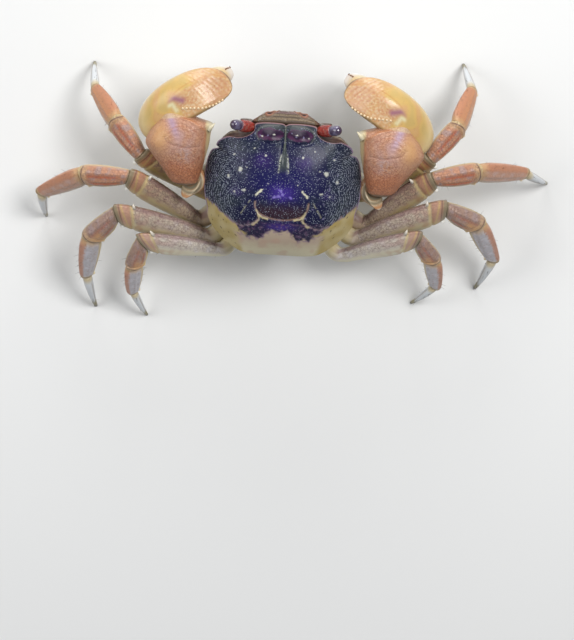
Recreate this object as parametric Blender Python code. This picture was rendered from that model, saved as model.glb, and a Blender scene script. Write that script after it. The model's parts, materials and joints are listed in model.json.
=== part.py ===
"""Life-size still model of a Sarmatium germaini crab, an adult male standing on its eight walking legs.

The animal faces -Y, its left side is +X, and the floor is z = 0. Sizes below are millimetres in the
animal's own frame, with x = 0 on the midline and y = 0 at half the length of the carapace. The meshes
are scaled to metres as they are made, and the root empty puts the middle of the whole model's
footprint on the origin.
"""
import math

import bmesh
import bpy
from mathutils import Matrix, Vector

# Scale and clearances
MM = 0.001
GAP = 0.3                # air left between neighbouring plates
JOINT = GAP / 2          # what each of two segments gives up at their joint
UP = Vector((0.0, 0.0, 1.0))

# Carapace: half of its margin from the front round to the rear, each point x, y and height
MARGIN = (
    # front, with the median notch
    (0.0, -15.0, 31.0), (0.9, -15.4, 31.0), (3.6, -15.5, 31.1), (5.6, -15.4, 31.2), (7.0, -15.0, 31.2),
    # upper edge of the orbit
    (7.2, -13.5, 31.6), (8.6, -12.3, 31.9), (10.8, -11.7, 31.8), (13.1, -11.8, 31.0),
    # exorbital tooth, notch and second tooth
    (15.1, -10.7, 29.6), (15.7, -9.45, 28.6), (15.1, -8.8, 28.3), (16.5, -8.35, 27.6), (17.2, -7.3, 27.0),
    # side
    (17.7, -5.6, 26.4), (18.0, -3.5, 25.9), (18.15, -1.0, 25.5), (18.1, 1.0, 25.2), (17.75, 3.2, 25.0),
    (17.2, 5.4, 24.8), (16.9, 7.5, 24.6), (15.8, 9.7, 24.5), (13.8, 11.9, 24.8), (10.8, 14.2, 25.4),
    # rear
    (8.5, 15.3, 25.8), (5.6, 15.6, 26.2), (2.8, 15.6, 26.4), (0.0, 15.6, 26.5),
)
DOME_TOP = 34.6
DOME_FALL = 3.1          # power of the fall from the middle of the back to the margin
DOME_RINGS = 11
WALL_STEPS = (0.14, 0.24, 0.42, 0.62, 0.82, 1.0)
SHELL_FLOOR = 15.5       # underside of the shell block, where the sternum starts
FRONT_RIM = -9.5         # y of the lower rim under the mouth
FACE_EDGE = 7.1          # x within which the front wall is flat
RIM_SMOOTHINGS = 4
EDGE_BLEND = 9           # power of the share at which the margin's own notches and teeth take over
LOBE_RISE = 0.7          # lobes behind the front
GROOVE_DEPTH = 0.8       # groove between them
RIM_NARROWING = ((-15.0, 1.0), (-9.0, 0.92), (-5.5, 0.63), (4.0, 0.56), (12.0, 0.66), (15.6, 0.75))
RIM_SHORTENING = ((-15.0, 0.62), (-9.5, 0.82), (0.0, 1.0), (9.0, 0.92), (15.6, 0.79))
SIDE_CURVE = ((-9.5, 1.0), (-7.0, 0.62), (8.0, 0.62), (15.6, 1.0))   # power of the wall's inward fall
ORBIT_SHELF = ((7.0, 0.0), (7.4, 0.9), (8.6, 1.7), (10.8, 2.2), (13.1, 1.6), (15.1, 0.5), (15.8, 0.0))

# Face: the deflexed front and the antennule region, and the third maxillipeds below it
FACE_HALF_WIDTH = 6.7
FACE_COLUMNS = 19
FACE_PROFILE = (
    # y and z round the section, from the top at the shell, over the front edge, back to the shell
    (-15.95, 31.0), (-17.3, 30.4), (-18.2, 29.4), (-17.9, 28.6), (-17.6, 27.7), (-16.9, 27.0), (-15.6, 26.4),
)
FACE_FADE = ((0.0, 1.0), (0.45, 0.94), (0.75, 0.8), (0.9, 0.6), (1.0, 0.35))   # how far it stands out
FOSSA = (3.1, 1.15, 1.0)  # pits of the antennules: distance from the midline, half width and depth
MAXILLIPED_THICKNESS = 1.1
MAXILLIPED = (
    # distance down the face, inner edge and outer edge
    (5.2, 3.0, 4.4), (5.7, 1.9, 5.3), (7.2, 1.5, 5.7), (8.8, 2.1, 5.7), (10.2, 3.1, 5.6), (10.9, 3.1, 5.5),
    (13.6, 2.9, 5.4), (15.6, 2.6, 5.0), (16.2, 3.2, 4.4),
)

# Eyes and antennae, left side
EYE_BASE = Vector((7.35, -14.0, 29.6))
EYE_TIP = Vector((12.6, -14.9, 33.9))
STALK_SHARE = 0.52
EYE_RADII = ((0.0, 0.8), (0.2, 1.15), (0.45, 1.25), (0.52, 1.2), (0.75, 1.3), (0.92, 0.95), (1.0, 0.35))
ANTENNA_BASE = Vector((7.9, -14.75, 28.1))
ANTENNA_PATH = (
    # offset from the base, and radius
    (0.0, 0.0, 0.0, 0.75), (0.5, -0.35, 0.2, 0.8), (1.0, -0.6, 0.3, 0.5), (1.8, -0.75, 0.5, 0.33),
    (2.6, -0.8, 0.8, 0.26),
)

# Sternum: half width and underside along the body, with the trough of the pleon
STERNUM = ((-9.6, 3.4, 12.2), (-8.6, 5.2, 10.6), (-6.0, 7.4, 9.3), (-2.0, 8.8, 8.7), (3.0, 9.2, 8.5),
           (8.0, 8.2, 8.6), (11.0, 6.6, 9.3), (12.4, 5.0, 10.4))
STERNUM_TOP = SHELL_FLOOR - GAP
TROUGH = 1.5
PLEON = ((-5.2, 0.9), (-4.2, 1.7), (-2.2, 2.1), (0.5, 2.4), (4.0, 3.0), (8.0, 3.9), (10.8, 4.2), (12.0, 3.8))
PLEON_THICKNESS = 1.1
PLEON_MIDDLE = 8.9

# Walking legs: segments are named from the body outwards
SEGMENTS = ("merus", "carpus", "propodus", "dactyl")
LEGS = {
    # hip on the sternum, heights of the joints from the base of the merus to the tip, segment lengths,
    # and for each side the base of the merus and the bearings of the segments, towards the front
    2: dict(hip=(12.3, -1.6), heights=(13.0, 23.5, 21.0, 11.5, 0.0), lengths=(20.0, 9.9, 12.8, 12.7),
            left=((18.7, 3.2), (31, 49, 48, 77)), right=((20.0, 1.4), (36, 51, 67, 109))),
    3: dict(hip=(13.2, 3.3), heights=(13.0, 24.0, 20.5, 11.5, 0.0), lengths=(21.3, 11.0, 15.0, 13.5),
            left=((20.6, 9.7), (33, -3, -29, -93)), right=((21.3, 8.3), (42, 10, -3, -28))),
    4: dict(hip=(12.6, 8.0), heights=(13.5, 22.5, 18.0, 9.5, 0.0), lengths=(23.1, 9.7, 13.6, 13.2),
            left=((17.6, 13.9), (14, -47, -83, -102)), right=((19.0, 12.1), (25, -25, -62, -110))),
    5: dict(hip=(10.4, 12.1), heights=(14.0, 20.0, 15.5, 8.0, 0.0), lengths=(18.6, 7.9, 10.7, 11.0),
            left=((14.5, 16.9), (5, -73, -88, -115)), right=((15.7, 16.4), (18, -53, -79, -132))),
}
HIP_HEIGHT = 12.3
HIP_RADIUS = 2.1
ISCHIUM_SIZES = ((0.0, 4.6, 3.9), (0.35, 4.9, 4.2), (0.7, 4.8, 4.0))
# Share of the length, then depth and thickness of the section there
MERUS_SIZES = ((0.0, 4.4, 3.5), (0.12, 5.0, 3.6), (0.3, 6.2, 3.7), (0.55, 7.4, 3.9), (0.8, 7.3, 3.9),
               (0.93, 6.3, 3.6), (1.0, 4.9, 3.3))
CARPUS_SIZES = ((0.0, 3.9, 3.0), (0.3, 5.2, 3.9), (0.7, 6.0, 4.3), (0.9, 5.7, 4.0), (1.0, 4.9, 3.5))
PROPODUS_SIZES = ((0.0, 4.7, 3.3), (0.15, 5.7, 3.6), (0.4, 5.7, 3.5), (0.75, 4.6, 3.0), (0.93, 3.6, 2.6),
                  (1.0, 3.1, 2.4))
DACTYL_SIZES = ((0.0, 2.6, 2.1), (0.12, 2.8, 2.2), (0.4, 2.2, 1.8), (0.7, 1.5, 1.25), (0.9, 0.95, 0.9),
                (1.0, 0.75, 0.75))
SEGMENT_SIZES = {"merus": MERUS_SIZES, "carpus": CARPUS_SIZES, "propodus": PROPODUS_SIZES,
                 "dactyl": DACTYL_SIZES}
SEGMENT_ROLL = {"merus": 46, "carpus": 42, "propodus": 46, "dactyl": 10}
LEG_SCALE = {2: 0.95, 3: 1.0, 4: 1.0, 5: 0.86}
DACTYL_BOW = 0.9
MERUS_SPINE = (0.85, 1.5, 0.55)   # spine on the upper margin: share of the length, height and root radius

# Chelipeds, left side
CLAW_HIP = Vector((8.6, -6.6, 12.0))
CLAW_ELBOW = Vector((21.3, 0.6, 25.0))
CLAW_MERUS_SIZES = ((0.0, 4.4, 4.2), (0.2, 5.2, 4.6), (0.5, 6.6, 5.4), (0.8, 7.4, 5.8), (1.0, 6.4, 5.2))
CARPUS_SECTIONS = (
    # y, inner and outer edge, top and bottom
    (0.6, 20.6, 24.4, 27.4, 24.6), (-0.6, 19.6, 26.0, 29.4, 23.2), (-3.3, 18.75, 27.9, 31.7, 21.4),
    (-6.7, 18.0, 30.6, 33.2, 20.6), (-9.3, 17.4, 32.0, 33.9, 20.8), (-12.2, 17.1, 30.9, 34.0, 22.0),
    (-14.2, 16.6, 29.4, 33.6, 24.0), (-15.3, 19.6, 28.6, 33.0, 25.6), (-16.6, 23.4, 27.8, 31.9, 27.6),
)
PALM_ORIGIN = Vector((22.8, -20.6, 24.0))
PALM_BEARING = math.radians(29.6)
PALM_BEND = 0.0125       # how fast the palm curves back away from its middle
PALM_MIDDLE = 2.0
PALM_SECTIONS = (
    # inner edge across and height, outer edge across and height, arch, back face and front face
    (8.8, 5.5, -4.2, 8.0, 1.9, -3.9, 0.9), (9.7, 5.0, -6.0, 7.6, 1.8, -4.8, 2.4),
    (9.8, 4.2, -9.4, 6.2, 1.2, -5.2, 4.6), (5.8, 3.5, -12.5, 3.9, 0.6, -5.1, 5.1),
    (3.8, 2.6, -13.7, 1.6, 0.0, -4.8, 5.0), (2.1, 1.0, -13.6, -0.6, 0.0, -4.5, 4.9),
    (1.3, -1.1, -12.3, -2.9, 0.0, -4.1, 4.5), (2.6, -3.4, -10.4, -5.2, 0.0, -3.6, 3.9),
    (2.5, -5.9, -8.1, -7.6, 0.0, -3.1, 3.3), (3.2, -8.8, -4.8, -10.5, 0.0, -2.6, 2.7),
    (5.0, -11.4, -1.2, -13.4, 0.0, -2.1, 2.2), (6.7, -14.2, 2.4, -16.0, 0.0, -1.4, 1.7),
    (8.3, -17.1, 6.5, -17.9, 0.0, -0.5, 0.9),
)
FINGER_SECTIONS = (
    (5.2, 2.2, 9.3, 3.0, 0.3, -0.6, 2.3), (4.4, 1.2, 9.9, 1.9, 0.0, -1.4, 2.9),
    (4.0, -0.9, 10.3, -0.4, 0.0, -1.8, 3.1), (4.5, -3.3, 10.6, -2.8, 0.0, -1.8, 2.9),
    (5.6, -5.9, 10.8, -5.6, 0.0, -1.5, 2.6), (6.6, -8.8, 10.8, -8.3, 0.0, -1.3, 2.3),
    (7.6, -11.8, 10.7, -11.0, 0.0, -1.0, 2.0), (8.4, -14.5, 10.2, -14.0, 0.0, -0.7, 1.6),
    (9.1, -17.3, 9.8, -17.2, 0.0, -0.2, 1.0),
)
# Crest of the palm: beads along its inner margin and flutes across its top, each set at a place
# across the palm
BEADS = (10, -2.2, 6.6, 0.42)      # count, first and last place, radius
BEAD_ROW = ((-2.2, -1.9), (0.0, -3.1), (2.0, -4.2), (4.5, -4.6), (6.6, -4.3))   # across, and out
FLUTES = (8, -0.4, 8.0, 0.36)      # count, first and last place, half width
FLUTE_SPAN = (-3.9, 1.8)           # from the bead row to the outer edge of the crest
FLUTE_TILT = 1.6                   # how far a flute leans along the palm over its length
TEETH = (
    # cutting edge of the fixed finger: place across, height, radius
    (2.2, -1.9, 0.9), (2.9, -3.3, 1.0), (2.6, -5.0, 0.8), (2.7, -6.7, 0.6), (3.2, -8.4, 0.55),
    (4.2, -10.2, 0.5),
)
NODULES = ((10.1, 0.6, 0.5), (10.5, -1.4, 0.5), (10.8, -3.8, 0.5), (11.0, -6.2, 0.4))  # on the finger's back
CARPUS_SPINE = (Vector((17.4, -13.4, 31.6)), Vector((16.1, -14.7, 31.9)), 0.9)   # root, tip, root radius

# Limbs that pass close by others at their roots: the piece that is cut, and what it is cut clear of
CROWDED_GAP = 0.45
CROWDED = (
    ("cheliped_{}_merus", "carapace"), ("cheliped_{}_merus", "sternum"),
    ("leg_2_{}_merus", "cheliped_{}_merus"), ("leg_2_{}_merus", "cheliped_{}_carpus"),
    ("leg_3_{}_merus", "leg_2_{}_merus"), ("leg_4_{}_merus", "leg_3_{}_merus"),
    ("leg_5_{}_merus", "leg_4_{}_merus"), ("eyestalk_{}", "carapace"),
    ("leg_2_{}_carpus", "cheliped_{}_palm"), ("leg_2_{}_merus", "sternum"),
)

# Finishes: base colour, roughness
FINISHES = {
    "shell_violet": ((0.05, 0.04, 0.12), 0.38),
    "face_brown": ((0.16, 0.09, 0.08), 0.42),
    "underside_cream": ((0.62, 0.56, 0.44), 0.45),
    "eyestalk_red": ((0.30, 0.05, 0.04), 0.35),
    "cornea": ((0.25, 0.22, 0.30), 0.12),
    "antenna_brown": ((0.30, 0.22, 0.18), 0.45),
    "palm_ochre": ((0.66, 0.50, 0.26), 0.36),
    "finger_ivory": ((0.74, 0.72, 0.68), 0.32),
    "carpus_orange": ((0.55, 0.27, 0.15), 0.45),
    "leg_lilac": ((0.42, 0.31, 0.28), 0.45),
    "leg_orange": ((0.50, 0.29, 0.18), 0.45),
    "dactyl_amber": ((0.55, 0.47, 0.36), 0.40),
}

RING_POINTS = 12         # points round a leg segment
CLAW_RING_POINTS = 20    # points round a section of the claw


def clear_scene():
    """Empty the scene, so that the model is all it holds."""
    for item in list(bpy.data.objects):
        bpy.data.objects.remove(item, do_unlink=True)


def ramp(value, stops):
    """Read a row of (place, amount) stops in straight runs, held level past its ends."""
    if value <= stops[0][0]:
        return stops[0][1]
    for (low, low_amount), (high, high_amount) in zip(stops, stops[1:]):
        if value <= high:
            return low_amount + (high_amount - low_amount) * (value - low) / (high - low)
    return stops[-1][1]


def finish(name):
    """The Principled material of a finish, made once."""
    material = bpy.data.materials.get(name)
    if material is None:
        colour, roughness = FINISHES[name]
        material = bpy.data.materials.new(name)
        material.use_nodes = True
        shader = material.node_tree.nodes["Principled BSDF"]
        shader.inputs["Base Color"].default_value = (*colour, 1.0)
        shader.inputs["Roughness"].default_value = roughness
        shader.inputs["Metallic"].default_value = 0.0
    return material


def place(name, bm, finish_name, hand=1):
    """Turn a bmesh in millimetres into an object of the model; hand -1 mirrors it to the right side."""
    for vert in bm.verts:
        vert.co.x *= hand
        vert.co *= MM
    bmesh.ops.recalc_face_normals(bm, faces=bm.faces)
    if bm.calc_volume(signed=True) < 0:
        bmesh.ops.reverse_faces(bm, faces=bm.faces)
    bmesh.ops.triangulate(bm, faces=bm.faces)
    mesh = bpy.data.meshes.new(name)
    bm.to_mesh(mesh)
    bm.free()
    mesh.materials.append(finish(finish_name))
    mesh.shade_smooth()
    mesh.set_sharp_from_angle(angle=math.radians(40))
    item = bpy.data.objects.new(name, mesh)
    item.parent = root
    crab.objects.link(item)
    return item


def loft(rings):
    """Skin a row of closed sections with equal point counts, and cap both ends."""
    bm = bmesh.new()
    rows = [[bm.verts.new(point) for point in ring] for ring in rings]
    for near, far in zip(rows, rows[1:]):
        for i, corner in enumerate(near):
            j = (i + 1) % len(near)
            bm.faces.new((corner, near[j], far[j], far[i]))
    bm.faces.new(rows[0])
    bm.faces.new(rows[-1])
    bmesh.ops.recalc_face_normals(bm, faces=bm.faces)
    return bm


def oval(count, power=2.0):
    """Points (across, up) of a unit oval; a power above 2 squares it off."""
    points = []
    for step in range(count):
        angle = 2 * math.pi * (step + 0.5) / count
        across = math.cos(angle)
        rise = math.sin(angle)
        shrink = (abs(across) ** power + abs(rise) ** power) ** (-1 / power)
        points.append((across * shrink, rise * shrink))
    return points


def merge(target, parts):
    """Fuse closed objects into one, and keep its largest closed surface."""
    if parts:
        helpers = bpy.data.collections.new("helpers")
        for part in parts:
            crab.objects.unlink(part)
            helpers.objects.link(part)
        union = target.modifiers.new("fuse", "BOOLEAN")
        union.operation = "UNION"
        union.operand_type = "COLLECTION"
        union.collection = helpers
        union.solver = "MANIFOLD"
        apply_modifiers(target)
        for part in parts:
            bpy.data.objects.remove(part, do_unlink=True)
        bpy.data.collections.remove(helpers)
    keep_largest(target)
    return target


def clear(target, neighbour, gap=GAP):
    """Cut a piece clear of its neighbour, which is swollen by the gap for the cut."""
    bpy.context.view_layer.update()
    bm = bmesh.new()
    bm.from_mesh(neighbour.data)
    bm.normal_update()
    for vert in bm.verts:
        vert.co += vert.normal * gap * MM * min(vert.calc_shell_factor(), 2.0)
    mesh = bpy.data.meshes.new("cutter")
    bm.to_mesh(mesh)
    bm.free()
    cutter = bpy.data.objects.new("cutter", mesh)
    cutter.hide_render = True
    cutter.display_type = "WIRE"
    cutter.parent = root
    cutters.objects.link(cutter)
    cut = target.modifiers.new("clear", "BOOLEAN")
    cut.operation = "DIFFERENCE"
    cut.object = cutter
    cut.solver = "MANIFOLD"
    apply_modifiers(target)
    bpy.data.objects.remove(cutter, do_unlink=True)
    keep_largest(target)
    return target


def apply_modifiers(item):
    """Replace an object's mesh by its evaluated one."""
    bpy.context.view_layer.update()
    graph = bpy.context.evaluated_depsgraph_get()
    mesh = bpy.data.meshes.new_from_object(item.evaluated_get(graph))
    item.modifiers.clear()
    item.data = mesh
    mesh.name = item.name


def keep_largest(item):
    """Drop every closed surface of a mesh but the largest."""
    bm = bmesh.new()
    bm.from_mesh(item.data)
    left = set(bm.faces)
    islands = []
    while left:
        seed = left.pop()
        island = {seed}
        front = [seed]
        while front:
            face = front.pop()
            for edge in face.edges:
                for other in edge.link_faces:
                    if other in left:
                        left.discard(other)
                        island.add(other)
                        front.append(other)
        islands.append(island)
    islands.sort(key=lambda faces: sum(face.calc_area() for face in faces))
    scraps = [face for island in islands[:-1] for face in island]
    bmesh.ops.delete(bm, geom=scraps, context="FACES")
    bm.to_mesh(item.data)
    bm.free()


def frame_at(direction, roll=0.0):
    """Axes of a limb section: its depth, turned from upwards towards the front, and its thickness."""
    forward = direction.cross(UP).normalized()
    upward = forward.cross(direction).normalized()
    turn = math.radians(roll)
    depth = upward * math.cos(turn) + forward * math.sin(turn)
    return depth, direction.cross(depth).normalized()


def limb(centres, sizes, start_plane, end_plane, rolls, count=RING_POINTS, power=2.2):
    """Loft a limb segment along its centre line, with both ends mitred against its neighbours.

    A plane is (point, normal), the normal along the limb; the end ring stops JOINT short of it.
    """
    lengths = [0.0]
    for near, far in zip(centres, centres[1:]):
        lengths.append(lengths[-1] + (far - near).length)
    total = lengths[-1]
    reach = total * 0.42
    section = oval(count, power)
    rings = []
    for i, (centre, (deep, thick), roll) in enumerate(zip(centres, sizes, rolls)):
        behind = centres[max(i - 1, 0)]
        ahead = centres[min(i + 1, len(centres) - 1)]
        direction = (ahead - behind).normalized()
        depth, side = frame_at(direction, roll)
        ring = []
        for across, rise in section:
            point = centre + side * across * thick / 2 + depth * rise * deep / 2
            for (anchor, normal), distance, sign in ((start_plane, lengths[i], 1),
                                                     (end_plane, total - lengths[i], -1)):
                weight = max(0.0, 1 - distance / reach)
                offset = sign * JOINT - (point - anchor).dot(normal) + sign * distance * direction.dot(normal)
                point = point + direction * (offset / direction.dot(normal)) * weight
            ring.append(point)
        rings.append(ring)
    return loft(rings)


def front_wall(drop, out=0.0):
    """A point (y, z) on the sloping front wall, at a distance down it and proud of it."""
    top = Vector((MARGIN[2][1], MARGIN[2][2]))
    foot = Vector((FRONT_RIM, SHELL_FLOOR))
    down = (foot - top).normalized()
    outward = Vector((down.y, -down.x))
    return top + down * drop + outward * out


def smoothed(points):
    """An open row of points with its notches and teeth smoothed away, its ends kept."""
    for turn in range(RIM_SMOOTHINGS):
        middle = [(near + here * 2 + far) / 4 for near, here, far in zip(points, points[1:], points[2:])]
        points = [points[0]] + middle + [points[-1]]
    return points


def lower_rim():
    """Half of the rim where the side walls end."""
    rim = smoothed([Vector((x * ramp(y, RIM_NARROWING), y * ramp(y, RIM_SHORTENING)))
                    for x, y, z in MARGIN])
    return [Vector((spot.x, FRONT_RIM)) if x < FACE_EDGE and y < 0 else spot
            for spot, (x, y, z) in zip(rim, MARGIN)]


def dome_point(margin, soft, share):
    """A point of the back, at a share of the way out to a margin point and its smoothed twin."""
    edge = soft.lerp(Vector(margin), share ** EDGE_BLEND)
    px = edge.x * share
    py = edge.y * share
    z = DOME_TOP - (DOME_TOP - edge.z) * share ** DOME_FALL
    lobes = LOBE_RISE * math.exp(-((abs(px) - 3.4) / 2.2) ** 2 - ((py + 12.6) / 1.6) ** 2)
    groove = GROOVE_DEPTH * math.exp(-(px / 0.6) ** 2) * ramp(py, ((-15.4, 1.0), (-11.0, 1.0), (-6.0, 0.0)))
    return Vector((px, py, z + lobes - groove))


def wall_point(margin, rim, part):
    """A point of the side wall, at a part of the way down; it bulges to a shelf below the orbit."""
    x, y, height = margin
    px = x + (rim.x - x) * part ** ramp(y, SIDE_CURVE)
    py = y + (rim.y - y) * part
    shelf = ramp(x, ORBIT_SHELF) * ramp(part, ((0.14, 0.0), (0.24, 1.0), (1.0, 0.0)))
    return Vector((px, py - (shelf if y < -9.0 else 0.0), height + (SHELL_FLOOR - height) * part))


def shell_point(column, rings_down, columns, soft, rim):
    """Where a vertex of the shell block lies, by its column round the margin and ring from the top."""
    half = len(MARGIN) - 1
    index = min(column, columns - column)
    step = rings_down - DOME_RINGS
    if step <= 0:
        spot = dome_point(MARGIN[index], soft[index], math.sin(rings_down / DOME_RINGS * math.pi / 2))
    elif step <= len(WALL_STEPS):
        spot = wall_point(MARGIN[index], rim[index], WALL_STEPS[step - 1])
    else:
        inward = 0.5 if step == len(WALL_STEPS) + 1 else 0.0
        spot = Vector((rim[index].x * inward, rim[index].y * inward, SHELL_FLOOR))
    if column > half:
        spot.x = -spot.x
    return spot


def make_carapace():
    """The carapace with its side walls: a ball whose rings are laid on the margin and the rim."""
    columns = 2 * (len(MARGIN) - 1)
    rows = DOME_RINGS + len(WALL_STEPS) + 2
    bm = bmesh.new()
    bmesh.ops.create_uvsphere(bm, u_segments=columns, v_segments=rows, radius=1.0)
    rim = lower_rim()
    soft = smoothed([Vector(point) for point in MARGIN])
    for vert in bm.verts:
        down = round(math.acos(max(-1.0, min(1.0, vert.co.z))) / math.pi * rows)
        bearing = math.atan2(vert.co.x, -vert.co.y) % (2 * math.pi)
        column = round(bearing / (2 * math.pi) * columns) % columns
        vert.co = shell_point(column, down, columns, soft, rim)
    return place("carapace", bm, "shell_violet")


def wall_front(z):
    """The y that clears the sloping front wall by the gap, at a height."""
    top = Vector((MARGIN[2][1], MARGIN[2][2]))
    foot = Vector((FRONT_RIM, SHELL_FLOOR))
    slope = (foot - top).normalized()
    return top.x + (z - top.y) * slope.x / slope.y + GAP / slope.y


def make_face():
    """The front, turned down over the antennule region: one bar across, pitted where the antennules fold."""
    pit_place, pit_width, pit_depth = FOSSA
    rings = []
    for column in range(FACE_COLUMNS):
        share = 2 * column / (FACE_COLUMNS - 1) - 1
        x = share * FACE_HALF_WIDTH
        pit = pit_depth * math.exp(-((abs(x) - pit_place) / pit_width) ** 2)
        ring = []
        for i, (y, z) in enumerate(FACE_PROFILE):
            back = wall_front(z)
            sunk = pit if 3 <= i <= 4 else 0.0
            ring.append(Vector((x, back + (y - back) * ramp(abs(share), FACE_FADE) + sunk, z)))
        for z in (FACE_PROFILE[-1][1], FACE_PROFILE[0][1]):
            ring.append(Vector((x, wall_front(z), z)))
        rings.append(ring)
    return place("face", loft(rings), "face_brown")


def make_maxilliped(name, hand):
    """A third maxilliped: the oval merus over the narrower ischium, flat against the front wall."""
    rings = []
    for drop, inner, outer in MAXILLIPED:
        ring = []
        for share, out in ((0.0, GAP), (0.5, GAP), (1.0, GAP), (1.0, 0.7), (0.75, 1.0), (0.5, 1.1),
                           (0.25, 1.0), (0.0, 0.7)):
            proud = out if out == GAP else GAP + MAXILLIPED_THICKNESS * out
            y, z = front_wall(drop, proud)
            ring.append(Vector((inner + (outer - inner) * share, y, z)))
        rings.append(ring)
    return place(name, loft(rings), "underside_cream", hand)


def make_eye(side, hand):
    """The movable eye: a red stalk lying in the orbit, and the swollen cornea at its end."""
    axis = EYE_TIP - EYE_BASE
    direction = axis.normalized()
    depth, across = frame_at(direction)
    circle = oval(14)
    for name, colour, low, high in (("eyestalk_" + side, "eyestalk_red", 0.0, STALK_SHARE),
                                    ("eye_" + side, "cornea", STALK_SHARE, 1.0)):
        shares = [share for share, radius in EYE_RADII if low <= share <= high]
        rings = []
        for share in shares:
            radius = ramp(share, EYE_RADII)
            slip = GAP if share == low and low > 0 else 0.0
            centre = EYE_BASE + axis * share + direction * slip
            rings.append([centre + across * u * radius + depth * v * radius for u, v in circle])
        place(name, loft(rings), colour, hand)


def make_antenna(name, hand):
    """The antenna: two stout joints at its base and a short tapering flagellum."""
    circle = oval(8)
    rings = []
    for i, (x, y, z, radius) in enumerate(ANTENNA_PATH):
        behind = Vector(ANTENNA_PATH[max(i - 1, 0)][:3])
        ahead = Vector(ANTENNA_PATH[min(i + 1, len(ANTENNA_PATH) - 1)][:3])
        depth, across = frame_at((ahead - behind).normalized())
        centre = ANTENNA_BASE + Vector((x, y, z))
        rings.append([centre + across * u * radius + depth * v * radius for u, v in circle])
    return place(name, loft(rings), "antenna_brown", hand)


def hip_point(number):
    x, y = LEGS[number]["hip"]
    return Vector((x, y, HIP_HEIGHT))


def make_sternum():
    """The breastplate with its trough for the pleon, and the coxae of all ten limbs."""
    rings = []
    for y, half, under in STERNUM:
        trough = min(half * 0.66, ramp(y, PLEON) + 0.6)
        deep = TROUGH if y > -6.5 else TROUGH * 0.3
        ring = [(half * 0.9, STERNUM_TOP), (half, STERNUM_TOP - 1.2), (half * 0.96, under + 1.8),
                (half * 0.75, under + 0.3), (trough + 0.5, under), (trough, under + deep)]
        mirrored = [(-x, z) for x, z in reversed(ring)]
        rings.append([Vector((x, y, z)) for x, z in ring + mirrored])
    sternum = place("sternum", loft(rings), "underside_cream")
    parts = []
    hips = [hip_point(number) for number in LEGS] + [CLAW_HIP]
    for hand in (1, -1):
        for hip in hips:
            inner = Vector((hip.x * 0.45, hip.y * 0.8, hip.z - 0.4))
            direction = (hip - inner).normalized()
            centres = [inner, inner.lerp(hip, 0.5), hip]
            sizes = [(HIP_RADIUS * 1.7, HIP_RADIUS * 1.7), (HIP_RADIUS * 2.1, HIP_RADIUS * 2),
                     (HIP_RADIUS * 2.1, HIP_RADIUS * 1.9)]
            bm = limb(centres, sizes, (inner, direction), (hip, direction), [0] * len(centres), 12)
            parts.append(place("coxa", bm, "underside_cream", hand))
    return merge(sternum, parts)


def make_pleon():
    """The male pleon, folded under the sternum from the rear forwards to the telson."""
    rings = []
    for y, half in PLEON:
        lift = ramp(y, ((8.0, 0.0), (12.0, 1.2)))
        ring = []
        for across, rise in oval(12, 3.0):
            ring.append(Vector((across * half, y, PLEON_MIDDLE + lift + rise * PLEON_THICKNESS / 2)))
        rings.append(ring)
    return place("pleon", loft(rings), "underside_cream")


def leg_joints(number, side):
    """The joints of a leg on its own side, from the base of the merus to the tip."""
    leg = LEGS[number]
    (x, y), bearings = leg[side]
    joints = [Vector((x, y, leg["heights"][0]))]
    for length, bearing, height in zip(leg["lengths"], bearings, leg["heights"][1:]):
        start = joints[-1]
        rise = height - start.z
        run = math.sqrt(length ** 2 - rise ** 2)
        turn = math.radians(bearing)
        joints.append(Vector((start.x + run * math.cos(turn), start.y - run * math.sin(turn), height)))
    return joints


def make_spike(start, end, radius, finish_name, hand):
    """A short spine, to be fused to the piece it grows from."""
    axis = end - start
    bm = bmesh.new()
    bmesh.ops.create_cone(bm, cap_ends=True, segments=6, radius1=radius, radius2=radius * 0.12,
                          depth=axis.length)
    turn = axis.to_track_quat("Z", "Y").to_matrix().to_4x4()
    bmesh.ops.transform(bm, matrix=Matrix.Translation((start + end) / 2) @ turn, verts=bm.verts)
    return place("spike", bm, finish_name, hand)


def make_bead(centre, radius, finish_name, hand):
    """A small round tooth or bead, to be fused to the piece it grows from."""
    bm = bmesh.new()
    bmesh.ops.create_icosphere(bm, subdivisions=1, radius=radius)
    bmesh.ops.translate(bm, vec=centre, verts=bm.verts)
    return place("bead", bm, finish_name, hand)


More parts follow.
